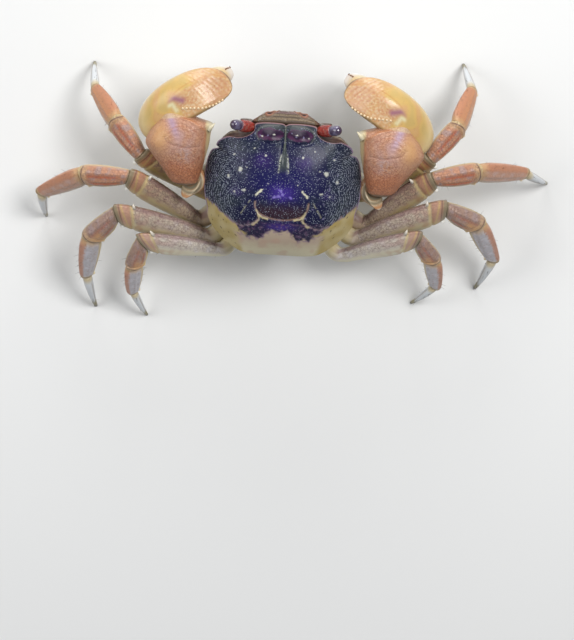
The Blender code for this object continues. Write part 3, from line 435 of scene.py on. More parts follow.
def carapace_tint(points, share):
    """Colours of the back, and where its granules and the fine arcs of its flanks lie."""
    x, y = points.T[:2]
    wave = cloud(points, 2.6)
    fine = cloud(points, 0.7, 7.0)
    bx = x + 0.45 * cloud(points, 1.3, 3.0) + 0.14 * cloud(points, 0.45, 11.0)
    by = y + 0.45 * cloud(points, 1.3, 5.0) + 0.14 * cloud(points, 0.45, 13.0)
    rx = np.abs(x + 0.22 * cloud(points, 0.5, 31.0))
    ry = y + 0.22 * cloud(points, 0.5, 33.0)
    ax = np.abs(bx)
    side = np.abs(x)
    lobe = step(blot(ax, by, (3.3, -12.95), (3.1, 1.4)), 0.33, 0.45) * step(side, 0.2, 0.6)
    field = blot(bx, by, (0.0, 0.2), (2.6, 1.7))
    bowl = step(by, 1.6, 4.8) * step(side, 6.0, 4.6) * step(by, 6.6, 6.2)
    wedge_width = ramp(y, ((-14.9, 0.07), (-12.5, 0.12), (-9.5, 0.42), (-4.6, 1.15)))
    wedge = step(side, wedge_width + 0.15, wedge_width - 0.12) * step(y, -15.1, -14.8) * step(by, -4.0, -6.0)
    broken = step(cloud(points, 0.28, 17.0), -0.3, 0.15)
    prong = stroke(side, y, PRONG, 0.15) * step(y, -9.0, -7.8) * broken
    bar = stroke(rx, ry, ((5.9, 0.9), (5.2, 0.1), (4.6, -0.4)), 0.26)
    slant = stroke(side, ry, ((7.2, 2.2), (8.1, 3.6), (9.2, 5.5)), 0.13)
    flare = stroke(rx, ry, ((6.05, 2.6), (5.9, 3.6)), 0.14)
    limit = ramp(ax, ((8.6, 9.6), (9.7, 8.7), (11.5, 7.3), (14.2, 5.5), (17.2, 3.3)))
    flank = step(by - limit, -0.1, 0.3) * step(ax, 7.2, 8.6)
    edge = ramp(np.abs(bx - 0.3), ((0.0, 9.3), (2.0, 9.0), (3.4, 10.0), (4.4, 11.5), (5.6, 10.8), (7.2, 11.0),
                                   (8.2, 10.2), (9.6, 9.9)))
    ragged = by + 0.5 * cloud(points, 0.8, 23.0)
    rear = step(ragged - edge, -0.25, 0.35)
    hollow = step(by, 6.8, 7.4) * (1 - rear) * step(side, 10.4, 9.6)
    arc = stroke(x, y, CARDIAC_ARC, 0.17)
    cream = stroke(rx, ry, bent(((3.0, 6.3), (4.6, 5.9), (5.3, 5.2), (5.6, 4.4))), 0.24)
    cream = np.maximum(cream, stroke(rx, ry, bent(((5.2, 5.4), (5.0, 6.4), (5.6, 7.2), (6.4, 7.9))), 0.3))
    seam = stroke(rx, ry, HIND_SEAM, 0.2)
    dots = step(cloud(points, 0.5, 21.0), 0.56, 0.64)
    inner = ramp(y, ((8.0, 10.6), (12.0, 9.4), (15.6, 8.2)))
    ochre = coated(even((0.35, 0.265, 0.095), x), (
        ((0.42, 0.34, 0.17), step(wave, -0.3, 0.5)),
        ((0.05, 0.035, 0.012), dots * 0.85),
    ))
    pinkish = coated(even((0.40, 0.315, 0.235), x), (
        ((0.50, 0.45, 0.31), step(by, 11.5, 14.4)),
        ((0.42, 0.27, 0.20), 0.5 * step(wave, 0.05, 0.45)),
        ((0.20, 0.13, 0.19), 0.75 * step(ragged - edge, 1.3, 0.2) * step(fine, -0.2, 0.3)),
    ))
    behind = tinted(pinkish, ochre, step(ax - inner, -0.9, 0.9))
    border = bell(by, limit, 0.4) * step(ax, 8.0, 9.5) * step(fine, -0.3, 0.1)
    rim = step(share, 0.984, 0.993) * step(by, 8.0, 5.0)
    bare = np.clip(lobe + flank + rear + 0.8 * wedge + 0.4 * hollow, 0.0, 1.0)
    speckle = step(y, -15.0, -14.2) * (1 - bare) * (0.6 + 0.4 * step(side, 5.0, 10.0))
    swept = step(side, 9.6, 12.0) * step(by, -10.5, -8.5) * (1 - bare)
    low = step(y, -4.0, 2.0)
    swirl = np.hypot(side - 12.9, y + 4.6) * (1 - low) + (16.0 * share - 9.9) * low
    colour = coated(even(NAVY, x), (
        (SLATE, 0.7 * step(wave, 0.0, 0.5) + 0.6 * step(side, 9.0, 14.0)),
        ((0.007, 0.006, 0.072), 0.85 * blot(ax, by, (2.0, -2.6), (6.5, 4.2))),
        (VIOLET, 0.6 * blot(ax, by, (4.8, -7.0), (1.9, 1.6))),
        (VIOLET, 0.5 * blot(ax, by, (10.6, 0.5), (1.5, 0.9))),
        ((0.034, 0.042, 0.040), 0.75 * np.exp(-((side / 7.0) ** 6) - ((by + 14.0) / 2.2) ** 4)),
        ((0.014, 0.004, 0.020), lobe),
        ((0.052, 0.013, 0.048), 0.9 * lobe * step(blot(ax, by, (3.2, -13.2), (2.3, 0.9)), 0.5, 0.2)),
        ((0.040, 0.018, 0.200), 0.95 * field),
        *(((0.20, 0.15, 0.46), 0.8 * step(blot(bx, by, spot, (0.5, 0.42)), 0.2, 0.9))
          for spot in ((0.6, -0.3), (0.0, 0.3), (1.7, 1.2), (-1.9, 1.2), (0.9, 0.9))),
        ((0.030, 0.013, 0.019), 0.85 * bowl),
        ((0.036, 0.046, 0.040), 0.8 * wedge),
        ((0.15, 0.16, 0.12), 0.7 * wedge * bell(x, 0.0, 0.13) * step(y, -8.8, -10.6)),
        ((0.44, 0.45, 0.36), 0.95 * prong),
        ((0.12, 0.12, 0.11), 0.55 * stroke(side, y, LOBE_CURL, 0.16)),
        *(((0.50, 0.50, 0.43), 0.9 * step(blot(rx, ry, spot, size), 0.3, 0.85))
          for spot, size in PALE_SPOTS),
        ((0.22, 0.20, 0.34), 0.5 * step(cloud(points, 0.55, 43.0), 0.56, 0.66)),
        ((0.56, 0.54, 0.40), 0.95 * step(bar, 0.3, 0.8)),
        ((0.30, 0.29, 0.20), 0.75 * slant * step(fine, -0.5, -0.1)),
        ((0.30, 0.27, 0.18), 0.7 * flare),
        ((0.020, 0.014, 0.040), 0.9 * hollow),
        ((0.045, 0.022, 0.170), 0.9 * blot(bx, by, (0.0, 8.1), (3.0, 1.0))),
        ((0.13, 0.075, 0.13), 0.55 * hollow * step(fine, 0.05, 0.4)),
        ((0.28, 0.17, 0.13), 0.8 * arc),
        ((0.40, 0.34, 0.19), 0.9 * step(cream, 0.25, 0.8)),
        ((0.28, 0.20, 0.22), 0.7 * seam * step(fine, -0.6, -0.1)),
        (ochre, flank),
        (behind, rear),
        ((0.20, 0.13, 0.17), 0.65 * border),
        ((0.26, 0.18, 0.29), 0.85 * rim),
        ((0.23, 0.125, 0.105), 0.85 * step(share, 0.984, 0.994) * step(y, -10.5, -12.0)),
    ))
    return colour, speckle, swept, swirl


def wall_tint(points):
    """Colours of the walls: golden gratings beside the mouth, with painted highlights and painted shade on
    their bulge, brown orbits, pale flanks, and painted shade in the mouth opening.
    """
    x, y, z = points.T
    ax = np.abs(x)
    wave = cloud(points, 1.8)
    fine = cloud(points, 0.5, 3.0)
    rear = step(y, 0.5, 4.0)
    folds = bell(np.mod(z + 0.35 * ax + 0.3 * wave, 2.3), 1.1, 0.14) * step(fine, -0.5, 0.1)
    front = step(y, -6.4, -7.4)
    band = front * step(z, 28.4, 28.0) * step(z, 25.6, 26.4)
    streak = bell(np.mod(z + 0.08 * wave, 0.56), 0.28, 0.09)
    field = front * step(grated_share(ax, z), 1.04, 0.86)
    gold = coated(even((0.24, 0.145, 0.042), x), (
        ((0.060, 0.030, 0.012), step(ax, 11.2, 13.6)),
        ((0.42, 0.125, 0.022), 0.9 * step(ax + 0.15 * (22.0 - z), 10.0, 7.8)),
        # the two pale gold blots are painted highlights on the bulging field
        ((0.62, 0.46, 0.20), 0.9 * blot(ax, z, (10.2, 20.0), (1.6, 2.1))),
        ((0.42, 0.30, 0.13), 0.6 * blot(ax, z, (9.6, 24.2), (2.2, 1.0))),
        # darker towards the field's rounded edge: painted shade of its bulge
        ((0.045, 0.022, 0.010), 0.9 * step(grated_share(ax, z), 0.62, 1.0) * step(ax, 7.2, 8.6)),
    ))
    rim = bell(grated_share(ax, z), 1.12, 0.09) * front
    orbit = front * step(z, 28.2, 28.7) * step(ax, 6.4, 6.9)
    ridges = bell(np.mod(z + 0.12 * ax + 0.06 * wave, 0.62), 0.3, 0.1)
    brow = stroke(ax, z, ORBIT_BROW, 0.15)
    below = front * step(z, 17.9, 17.2) * step(ax, 5.6, 6.2) * (1 - field)
    mouth = front * step(ax, 6.3, 5.9) * step(z, 26.6, 26.0)
    # a near-black painted shade in the mouth opening between the mouthparts
    painted_mouth_shade = blot(x, z, (0.0, 17.6), (1.25, 1.9)) + 0.8 * blot(x, z, (0.0, 16.2), (0.7, 1.0))
    edge = stroke(ax, z, MOUTH_FRAME, 0.2)
    colour = coated(even((0.42, 0.35, 0.20), x), (
        ((0.55, 0.48, 0.34), 0.7 * rear * step(wave, -0.1, 0.5)),
        ((0.25, 0.185, 0.10), 0.6 * rear * folds),
        ((0.090, 0.045, 0.028), 0.85 * step(y, -1.0, -5.0)),
        ((0.055, 0.026, 0.015), front),
        ((0.17, 0.10, 0.055), 0.6 * band * streak),
        (gold, field),
        ((0.24, 0.17, 0.10), 0.55 * rim),
        ((0.040, 0.019, 0.018), orbit),
        ((0.13, 0.075, 0.050), 0.55 * orbit * ridges),
        ((0.36, 0.30, 0.22), 0.75 * front * brow),
        ((0.15, 0.085, 0.045), below * (0.7 + 0.3 * step(fine, -0.2, 0.3))),
        ((0.20, 0.20, 0.19), mouth),
        ((0.30, 0.33, 0.36), mouth * step(z, 17.2, 15.8)),
        ((0.10, 0.10, 0.09), mouth * 0.8 * step(wave, 0.0, 0.4)),
        # near-black painted shade in the mouth opening
        ((0.002, 0.002, 0.003), mouth * step(painted_mouth_shade, 0.25, 0.7)),
        ((0.26, 0.14, 0.065),
         0.7 * front * step(ax, 5.6, 5.0) * step(z, 25.3, 25.6) * step(z, 26.6, 26.3)),
        ((0.42, 0.40, 0.38), 0.8 * front * edge),
    ))
    return colour, field * step(ax, 6.4, 7.0)


def shell_finish():
    finish = Finish("violet_shell")
    where = finish.place()
    tint = finish.stored("tint")
    marks = [finish.part(finish.stored("marks"), number) for number in range(3)]
    grated = finish.maths("MAXIMUM", marks[0], 0.0)
    swept = finish.maths("MAXIMUM", 0.0 - marks[0], 0.0)
    bright = finish.rise(finish.cells(where, GRANULE_PITCH, output=1), 0.2, 0.8)
    grains = (1 - finish.rise(finish.cells(where, GRANULE_PITCH), 0.16, 0.36)) * marks[1]
    arcs = finish.rise(finish.wave(marks[2] + finish.lumps(where, 0.0012) * 0.5, 0.44), 0.45, 0.95) * swept
    arcs = arcs * finish.rise(finish.lumps(where, 0.0004, 1.0), 0.42, 0.56)
    pale = finish.maths("MAXIMUM", grains * (bright * 0.7 + 0.2), arcs * 0.5)
    speckled = finish.mix(tint, (0.36, 0.40, 0.48), pale)
    across = finish.part(where, 0)
    height = finish.part(where, 2)
    rows = finish.rise(finish.wave(height, 0.00031), 0.25, 0.9) * grated
    columns = finish.rise(finish.wave(across, 0.00033), 0.35, 0.95) * grated
    lined = finish.mix(speckled, (0.040, 0.017, 0.007), rows * 0.6 + columns * 0.3)
    mottled = finish.mottle(lined, finish.lumps(where, 0.0004, 4.0), 0.5)
    finish.set(Base_Color=mottled, Roughness=0.34, Coat_Weight=0.04, Coat_Roughness=0.2,
               Specular_IOR_Level=0.2)
    finish.bump(pale * 0.5 + finish.lumps(where, 0.0008, 4.0) * 0.5 - rows * 0.4, 0.14)
    return finish


mesh, down, turn = ball(SHELL_COLUMNS, DOME_ROWS + WALL_ROWS + FLOOR_ROWS)
points, share, part = shell_points(turn, down)
back = part <= 0
points[:, 2] += carapace_relief(points[:, 0], points[:, 1]) * back * step(share, 1.0, 0.93)
front = step(points[:, 1], -7.0, -8.0) * step(part, 0.0, 0.1) * step(part, 1.0, 0.95)
points[:, 1] -= wall_relief(points[:, 0], points[:, 2]) * front
colour, speckle, swept, swirl = carapace_tint(points, share)
wall_colour, grated = wall_tint(points)
keep(mesh, "tint", np.where(back[:, None], colour, wall_colour))
keep(mesh, "marks", np.stack([np.where(back, -swept, grated), np.where(back, speckle, 0.0),
                              np.where(back, swirl, 0.0)], axis=1))
place("carapace_shell", mesh, points, shell_finish(), ["carapace"])

# Walking legs
# Eight legs of four hard tubes each, flattened and keeled, from the lilac merus at the body to the
# white and amber tip. Each tube is lofted along its own line and mitred against its neighbours.
SEGMENTS = ("merus", "carpus", "propodus", "dactyl")
LEGS = {
    2: dict(hip=(12.3, -1.6), heights=(13.0, 23.5, 21.0, 11.5, 0.0), lengths=(20.0, 9.9, 12.8, 12.7),
            left=((18.7, 3.2), (31, 49, 48, 77)), right=((20.0, 1.4), (36, 51, 67, 109))),
    3: dict(hip=(13.2, 3.3), heights=(13.0, 24.0, 20.5, 11.5, 0.0), lengths=(21.3, 11.0, 15.0, 13.5),
            left=((20.6, 9.7), (33, -3, -29, -93)), right=((21.3, 8.3), (42, 10, -3, -28))),
    4: dict(hip=(12.6, 8.0), heights=(13.5, 22.5, 18.0, 9.5, 0.0), lengths=(23.1, 9.7, 13.6, 13.2),
            left=((17.6, 13.9), (14, -47, -83, -102)), right=((19.0, 12.1), (25, -25, -62, -110))),
    5: dict(hip=(10.4, 12.1), heights=(14.0, 20.0, 15.5, 8.0, 0.0), lengths=(18.6, 7.9, 10.7, 11.0),
            left=((14.5, 16.9), (5, -73, -88, -115)), right=((15.7, 16.4), (18, -53, -79, -132))),
}
HIP_HEIGHT = 12.3
ISCHIUM_SIZES = ((0.0, 4.6, 3.9), (0.35, 4.9, 4.2), (0.7, 4.8, 4.0))
SEGMENT_SIZES = {
    # share of the length, then depth and thickness of the section there
    "merus": ((0.0, 4.4, 3.5), (0.12, 5.0, 3.6), (0.3, 6.2, 3.7), (0.55, 7.4, 3.9), (0.8, 7.3, 3.9),
              (0.93, 6.3, 3.6), (1.0, 4.9, 3.3)),
    "carpus": ((0.0, 3.9, 3.0), (0.3, 5.2, 3.9), (0.7, 6.0, 4.3), (0.9, 5.7, 4.0), (1.0, 4.9, 3.5)),
    "propodus": ((0.0, 4.7, 3.3), (0.15, 5.7, 3.6), (0.4, 5.7, 3.5), (0.75, 4.6, 3.0), (0.93, 3.6, 2.6),
                 (1.0, 3.1, 2.4)),
    "dactyl": ((0.0, 2.6, 2.1), (0.12, 2.8, 2.2), (0.4, 2.2, 1.8), (0.7, 1.5, 1.25), (0.9, 0.95, 0.9),
               (1.0, 0.75, 0.75)),
}
SEGMENT_ROLL = {"merus": 46, "carpus": 42, "propodus": 46, "dactyl": 10}
LEG_SCALE = {2: 0.95, 3: 1.0, 4: 1.0, 5: 0.86}
DACTYL_BOW = 0.9
MERUS_SPINE = (0.85, 1.5, 0.55)
SIDES = (("left", 1), ("right", -1))
UP = Vector((0.0, 0.0, 1.0))
CAP_ROWS = 10
ROW_BUNCHING = 0.06      # the rows of a tube lie closer together towards its ends
LINE_NUDGE = 0.05        # step to both sides that gives a line's direction
MITRE_REACH = 0.42       # share of a tube's length over which a slanted end fades out
JOINT_OVERLAP = -0.04
GRAIN_SIZE = 0.3


def unit(rows):
    return rows / np.linalg.norm(rows, axis=1, keepdims=True)


def capped(down, rows):
    """The way from 0 to 1 along a ball that is drawn out, and how far its round ends are open there."""
    body = np.clip((down - CAP_ROWS) / (rows - 2 * CAP_ROWS), 0.0, 1.0)
    return body, np.minimum(np.minimum(down, rows - down) / CAP_ROWS, 1.0)


def rounded(distance, radius):
    """The share of a round end's radius that is missing at a distance from the end."""
    return 1 - np.sqrt(1 - (1 - np.clip(distance / radius, 0.0, 1.0)) ** 2)


def oval(turn, power=2.5):
    """Places across and up a section, from -1 to 1; a higher power makes its corners squarer."""
    across = np.cos(turn)
    rise = np.sin(turn)
    shrink = (np.abs(across) ** power + np.abs(rise) ** power) ** (-1 / power)
    return across * shrink, rise * shrink


def tube(centres, sizes, rolls, start, end, rows=110, columns=72, power=2.2, rounding=0.35, relief=None):
    """A closed tube along a line of centres; a plane is (point, normal) or None, and mitres that end.

    It gives the mesh, its points, each point's share of the way along, its place across and up the
    section from -1 to 1, and its place on the tube laid out straight.
    """
    mesh, down, turn = ball(columns, rows)
    centres = np.array([tuple(centre) for centre in centres])
    sums = np.concatenate([[0.0], np.cumsum(np.linalg.norm(np.diff(centres, axis=0), axis=1))])
    total = sums[-1]
    body, cap = capped(down, rows)
    along = total * (body - ROW_BUNCHING * np.sin(2 * math.pi * body))
    centre = curve(np.column_stack([sums, centres]), along)
    ahead = curve(np.column_stack([sums, centres]), along + LINE_NUDGE)
    behind = curve(np.column_stack([sums, centres]), along - LINE_NUDGE)
    direction = unit(ahead - behind)
    deep, thick, roll = curve(np.column_stack([sums, sizes, rolls]), along).T
    forward = unit(np.cross(direction, UP))
    upward = np.cross(forward, direction)
    angle = np.radians(roll)[:, None]
    depth = upward * np.cos(angle) + forward * np.sin(angle)
    side = np.cross(direction, depth)
    across, rise = oval(turn, power)
    near_end = np.minimum(along, total - along)
    lost = rounding * rounded(near_end, rounding)
    swell = relief(along / total, turn, along) if relief else 0.0
    half_thick = (thick / 2 - lost + swell) * cap
    half_deep = (deep / 2 - lost + swell) * cap
    points = centre + side * (across * half_thick)[:, None] + depth * (rise * half_deep)[:, None]
    reach = total * MITRE_REACH
    for plane, distance, sign in ((start, along, 1), (end, total - along, -1)):
        if plane:
            anchor, normal = (np.array(tuple(part)) for part in plane)
            weight = np.maximum(0.0, 1 - distance / reach)
            slant = direction @ normal
            offset = sign * JOINT_OVERLAP - (points - anchor) @ normal + sign * distance * slant
            points = points + direction * (offset / slant * weight)[:, None]
    straight = np.stack([along, across * half_thick, rise * half_deep], axis=1)
    return mesh, points, along / total, across * cap, rise * cap, straight


def leg_joints(number, side):
    """The joints of a leg on its own side, from the base of the merus to the tip."""
    leg = LEGS[number]
    (x, y), bearings = leg[side]
    joints = [Vector((x, y, leg["heights"][0]))]
    for length, bearing, height in zip(leg["lengths"], bearings, leg["heights"][1:]):
        start = joints[-1]
        run = math.sqrt(length ** 2 - (height - start.z) ** 2)
        turn = math.radians(bearing)
        joints.append(Vector((start.x + run * math.cos(turn), start.y - run * math.sin(turn), height)))
    return joints


def merus_relief(share, turn, along):
    keel = 0.28 * bell(turn, math.pi / 2, 0.22) * step(share, 0.3, 0.5)
    hind = 0.2 * bell(turn, -math.pi / 2, 0.3) * step(share, 0.4, 0.6)
    groove = -0.22 * bell(share, 0.875, 0.012) * step(np.cos(turn), 0.2, -0.2)
    return keel + hind + groove


def carpus_relief(share, turn, along):
    back = step(np.cos(turn), 0.2, -0.3)
    ribs = 0.035 * np.sin(along * 2 * math.pi / 0.62 + np.sin(turn * 2) * 0.8) * back
    low = bell(np.abs(turn), 2.95, 0.13)
    high = bell(turn, 2.15, 0.15)
    ridge = (0.22 * low + 0.22 * high) * step(share, 0.08, 0.3) * step(share, 0.85, 0.7)
    lobe = 0.25 * step(share, 0.84, 0.9) * back
    return ribs + ridge + lobe


def propodus_relief(share, turn, along):
    ridge = 0.2 * bell(np.abs(turn), 2.9, 0.16)
    edge = 0.22 * bell(turn, math.pi / 2, 0.22)
    hind = 0.15 * bell(turn, -math.pi / 2, 0.25)
    return (ridge + edge + hind) * step(share, 0.0, 0.15) * step(share, 1.0, 0.85)


def dactyl_relief(share, turn, along):
    grooves = bell(np.abs(turn), 2.45, 0.2) + bell(np.abs(turn), 0.75, 0.2)
    return -0.2 * grooves * step(share, 0.05, 0.2) * step(share, 0.9, 0.7)


def merus_tint(share, across, rise, straight, number):
    """Beige with a purple-brown net on the upper half, yellow below; the hind legs are paler."""
    wave = cloud(straight, 1.5)
    fine = cloud(straight, 0.5, 4.0)
    pale = (number - 2) / 3
    upper = np.array((0.41, 0.27, 0.150)) * (1 - pale) + np.array((0.54, 0.48, 0.41)) * pale
    lower = np.array((0.46, 0.34, 0.130)) * (1 - pale) + np.array((0.60, 0.55, 0.40)) * pale
    fore = float(number < 4)
    last = float(number == 5)
    distal = step(share, 0.872, 0.885) * step(across, 0.8, 0.3)
    pink = np.array((0.46, 0.20, 0.10)) * (1 - 0.5 * pale) + np.array((0.36, 0.28, 0.25)) * 0.5 * pale
    band = bell(share, 0.866, 0.012) * step(across, 0.6, 0.2)
    edge = step(share, 0.958, 0.975)
    veins = step(rise + 0.2 * wave, -0.05, 0.4) * step(across, 0.7, 0.1) * step(share, 0.16, 0.34)
    veins = veins * (1 - edge) * (1 - 0.6 * distal) * (1 - 0.8 * band) * (1 - 0.35 * pale)
    colour = coated(even(upper, share), (
        (upper * (1.10, 1.15, 1.35), step(wave, -0.1, 0.4) * 0.7),
        (lower, step(rise + 0.15 * fine + 0.1 * wave, 0.35, -0.15)),
        ((0.56, 0.50, 0.34), step(across, 0.2, 0.8) * 0.8),
        ((0.40, 0.20, 0.115), 0.5 * step(share, 0.5, 0.85) * step(wave, -0.3, 0.3)),
        ((0.22, 0.11, 0.11), 0.6 * bell(rise, 0.99, 0.05) * step(across, 0.5, 0.2)),
        ((0.070, 0.045, 0.022), fore * 0.85 * step(share, 0.16, 0.08)),
        ((0.52, 0.44, 0.22), (1 - fore) * 0.8 * step(share, 0.24, 0.14)),
        ((0.70, 0.67, 0.56), last * 0.9 * step(share, 0.14, 0.08)),
        (pink, 0.85 * distal),
        ((0.50, 0.37, 0.15), 0.75 * distal * step(rise, 0.0, -0.6)),
        ((0.52, 0.38, 0.14), 0.8 * distal * bell(share - 0.918 - 0.02 * rise, 0.0, 0.007)),
        ((0.54, 0.42, 0.19), 0.85 * band),
        ((0.20, 0.175, 0.105), 0.85 * edge),
        ((0.07, 0.05, 0.03), 0.8 * bell(share, 0.956, 0.005) * step(across, 0.6, 0.2)),
    ))
    return np.column_stack([colour, veins])


def carpus_tint(share, across, rise, straight, number):
    """Pink-orange with two red stripes in front, lilac-brown with an orange end on the hind legs."""
    wave = cloud(straight, 1.2)
    hind = step(np.array(float(number)), 3.0, 4.0)
    front = np.array((0.45, 0.225, 0.135))
    back = np.array((0.33, 0.215, 0.165))
    stripe = bell(rise, 0.62, 0.12) + bell(rise, -0.05, 0.1)
    stripe = stripe * step(share, 0.1, 0.3) * step(share, 0.9, 0.75) * step(across, 0.3, 0.0)
    knee = hind * step(share + 0.12 * rise, 0.5, 0.75) * step(rise, 0.75, 0.4)
    lobe = share + 0.07 * rise ** 2
    veins = 0.8 * step(across, 0.5, 0.0) * step(rise, -0.5, 0.0) * (1 - 0.6 * knee)
    colour = coated(even(front * (1 - hind) + back * hind, share), (
        ((0.36, 0.27, 0.26), step(wave, 0.0, 0.45) * 0.7),
        ((0.46, 0.115, 0.045), (0.8 - 0.35 * hind) * stripe),
        ((0.50, 0.27, 0.12), 0.85 * knee),
        ((0.52, 0.40, 0.17), step(rise, -0.3, -0.75)),
        ((0.54, 0.44, 0.25), step(across, 0.1, 0.7)),
        ((0.50, 0.33, 0.17), 0.6 * step(lobe, 0.82, 0.9) * step(across, 0.5, 0.0)),
        ((0.080, 0.045, 0.026), 0.85 * bell(lobe, 0.963, 0.013) * step(across, 0.6, 0.1)),
        ((0.54, 0.42, 0.21), 0.8 * step(lobe, 0.98, 0.995)),
        ((0.22, 0.18, 0.10), 0.8 * step(share, 0.06, 0.02)),
    ))
    return np.column_stack([colour, veins])


def propodus_tint(share, across, rise, straight, number):
    """Orange with a pale hind edge in front; lilac-white between dotted orange edges on the hind legs."""
    wave = cloud(straight, 1.4)
    fine = cloud(straight, 0.4, 9.0)
    hind = float(step(np.array(float(number)), 2.6, 3.8))
    front = np.array((0.46, 0.205, 0.095))
    back = np.array((0.42, 0.40, 0.42))
    pits = bell(rise, 0.35, 0.08) + bell(rise, -0.55, 0.08)
    dots = bell(np.mod(straight[:, 0], 0.85), 0.42, 0.13)
    colour = coated(even(front * (1 - hind) + back * hind, share), (
        ((0.50, 0.38, 0.30), (1 - hind) * step(rise + 0.2 * wave, 0.1, -0.7)),
        ((0.50, 0.48, 0.51), hind * step(wave, -0.1, 0.4) * 0.8),
        ((0.44, 0.19, 0.10), 0.85 * step(rise + 0.1 * fine, 0.5 + 0.25 * hind, 0.85 + 0.1 * hind)),
        ((0.54, 0.42, 0.19), 0.8 * hind * step(rise, -0.25, -0.6)),
        ((0.50, 0.34, 0.18), 0.6 * step(across, 0.2, 0.8)),
        ((0.50, 0.33, 0.16), 0.7 * step(share, 0.16, 0.02)),
        ((0.26, 0.12, 0.065), 0.6 * pits * dots * step(wave, -0.3, 0.1)),
        ((0.30, 0.14, 0.08), 0.5 * step(fine, 0.42, 0.52)),
        ((0.50, 0.40, 0.20), 0.7 * step(share, 0.90, 0.94)),
        ((0.16, 0.085, 0.035), 0.8 * bell(share, 0.955, 0.014) * step(across, 0.6, 0.2)),
    ))
    return np.column_stack([colour, np.full(len(share), 0.5)])


def dactyl_tint(share, across, rise, straight, number):
    groove = bell(rise, 0.45, 0.12) + bell(rise, -0.45, 0.12)
    return coated(even((0.46, 0.50, 0.55), share), (
        ((0.60, 0.61, 0.61), step(rise, -0.2, 0.4) * 0.7),
        ((0.24, 0.17, 0.12), 0.6 * groove * step(share, 0.06, 0.2) * step(share, 0.92, 0.75)),
        ((0.46, 0.36, 0.18), 0.8 * step(share, 0.16, 0.03)),
        ((0.22, 0.19, 0.085), step(share, 0.62, 0.80)),
        ((0.055, 0.042, 0.018), step(share, 0.84, 0.97)),
    ))


def limb_finish(name, roughness, vein_size, vein_strength, dark=(0.13, 0.065, 0.070)):
    """A tinted chitin finish with winding dark wrinkles where the tint's fourth value lets them show."""
    finish = Finish(name)
    where = finish.stored("straight")
    tint = finish.stored("tint")
    shown = finish.stored("tint", 3)
    net = 1 - finish.rise(finish.cells(where, vein_size * 0.8, "DISTANCE_TO_EDGE"), 0.0, 0.1)
    level = finish.maths("ABSOLUTE", finish.lumps(where, vein_size, 1.0) - 0.5, 0.0)
    veins = finish.maths("MAXIMUM", 1 - finish.rise(level, 0.005, 0.04), net * 0.7) * shown
    fine = finish.lumps(where, GRAIN_SIZE, 4.0)
    lined = finish.mix(tint, dark, veins * vein_strength)
    mottled = finish.mottle(lined, fine, 0.6)
    finish.set(Base_Color=mottled, Roughness=roughness, Coat_Weight=0.15, Coat_Roughness=0.22,
               Specular_IOR_Level=0.35)
    finish.bump(fine * 0.5 - veins * vein_strength, 0.14)
    return finish


LEG_LOOKS = {
    # relief, tint, finish and slot of each segment
    "merus": (merus_relief, merus_tint, limb_finish("merus_veined", 0.38, 1.05, 0.75), "leg_merus"),
    "carpus": (carpus_relief, carpus_tint, limb_finish("carpus_orange", 0.38, 0.8, 0.55), "leg_shell"),
    "propodus": (propodus_relief, propodus_tint, limb_finish("propodus_pale", 0.36, 0.9, 0.3), "leg_shell"),
    "dactyl": (dactyl_relief, dactyl_tint, limb_finish("dactyl_ivory", 0.3, 1.2, 0.0), "leg_dactyl"),
}


def dress(mesh, points, colour, straight):
    """Lay a mesh on its points, and keep its colours and its places on the skin laid out straight."""
    keep(mesh, "tint", colour)
    keep(mesh, "straight", straight)
    mesh.vertices.foreach_set("co", points.ravel())


def stand_for(node, mesh, finish, hand=1):
    """Place a dressed mesh as the shell of one CAD node."""
    place(node + "_shell", mesh, points_of(mesh), finish, [node], hand)


def add_shapes(mesh, colour, balls=(), cones=(), subdivisions=2):
    """Join balls (centre, radius) and cones (root, tip, root radius) in one colour to a dressed mesh."""
    bm = bmesh.new()
    bm.from_mesh(mesh)
    tint = bm.verts.layers.float_color["tint"]
    straight = bm.verts.layers.float_vector["straight"]
    shapes = [(centre, centre, radius) for centre, radius in balls] + list(cones)
    for root, tip, radius in shapes:
        root, tip = Vector(root), Vector(tip)
        if root == tip:
            verts = bmesh.ops.create_icosphere(bm, subdivisions=subdivisions, radius=radius)["verts"]
        else:
            verts = bmesh.ops.create_cone(bm, cap_ends=True, segments=10, radius1=radius,
                                          radius2=radius * 0.1, depth=(tip - root).length)["verts"]
            turn = (tip - root).to_track_quat("Z", "Y").to_matrix()
            bmesh.ops.rotate(bm, matrix=turn, verts=verts)
        bmesh.ops.translate(bm, vec=(root + tip) / 2, verts=verts)
        for vert in verts:
            vert[tint] = (*colour, 0.0)
            vert[straight] = vert.co
    bm.to_mesh(mesh)
    bm.free()


def tube_point(points, share, across, rise, spot):
    """The point of a tube's surface nearest to a share of its length and a place round its section."""
    miss = (share - spot[0]) ** 2 * 40 + (across - spot[1]) ** 2 + (rise - spot[2]) ** 2
    return points[np.argmin(miss)]


CHART_SHIFT = 20.0       # so that no two legs show the same veins
HAIRS_PER_SEGMENT = {"merus": 8, "carpus": 7, "propodus": 13, "dactyl": 10}
LEG_HAIR_RADIUS = 0.035
rng = np.random.default_rng(7)
leg_hairs = []


def grow_hairs(points, axis, share, rise, segment, chart, hand):
    """Pick roots along the two edges of a segment, and let a dark bristle stand out from each."""
    edge = np.flatnonzero((np.abs(rise) > 0.9) & (share > 0.08) & (share < 0.92))
    for pick in rng.choice(edge, HAIRS_PER_SEGMENT[segment], replace=False):
        root = Vector(points[pick])
        start, direction = axis
        out = root - (start + direction * (root - start).dot(direction))
        out = out.normalized() + direction * rng.uniform(0.1, 0.5) + Vector(rng.normal(0, 0.12, 3))
        length = rng.uniform(0.5, 1.5) * (0.7 if segment in ("merus", "dactyl") else 1.0)
        tip = root + out.normalized() * length
        tip.z = max(tip.z, 0.05)
        side = Vector((hand, 1, 1))
        spot = (chart + share[pick] / 40, 0.5 + rise[pick] * 0.4)
        leg_hairs.append((root * side, tip * side, LEG_HAIR_RADIUS, spot))


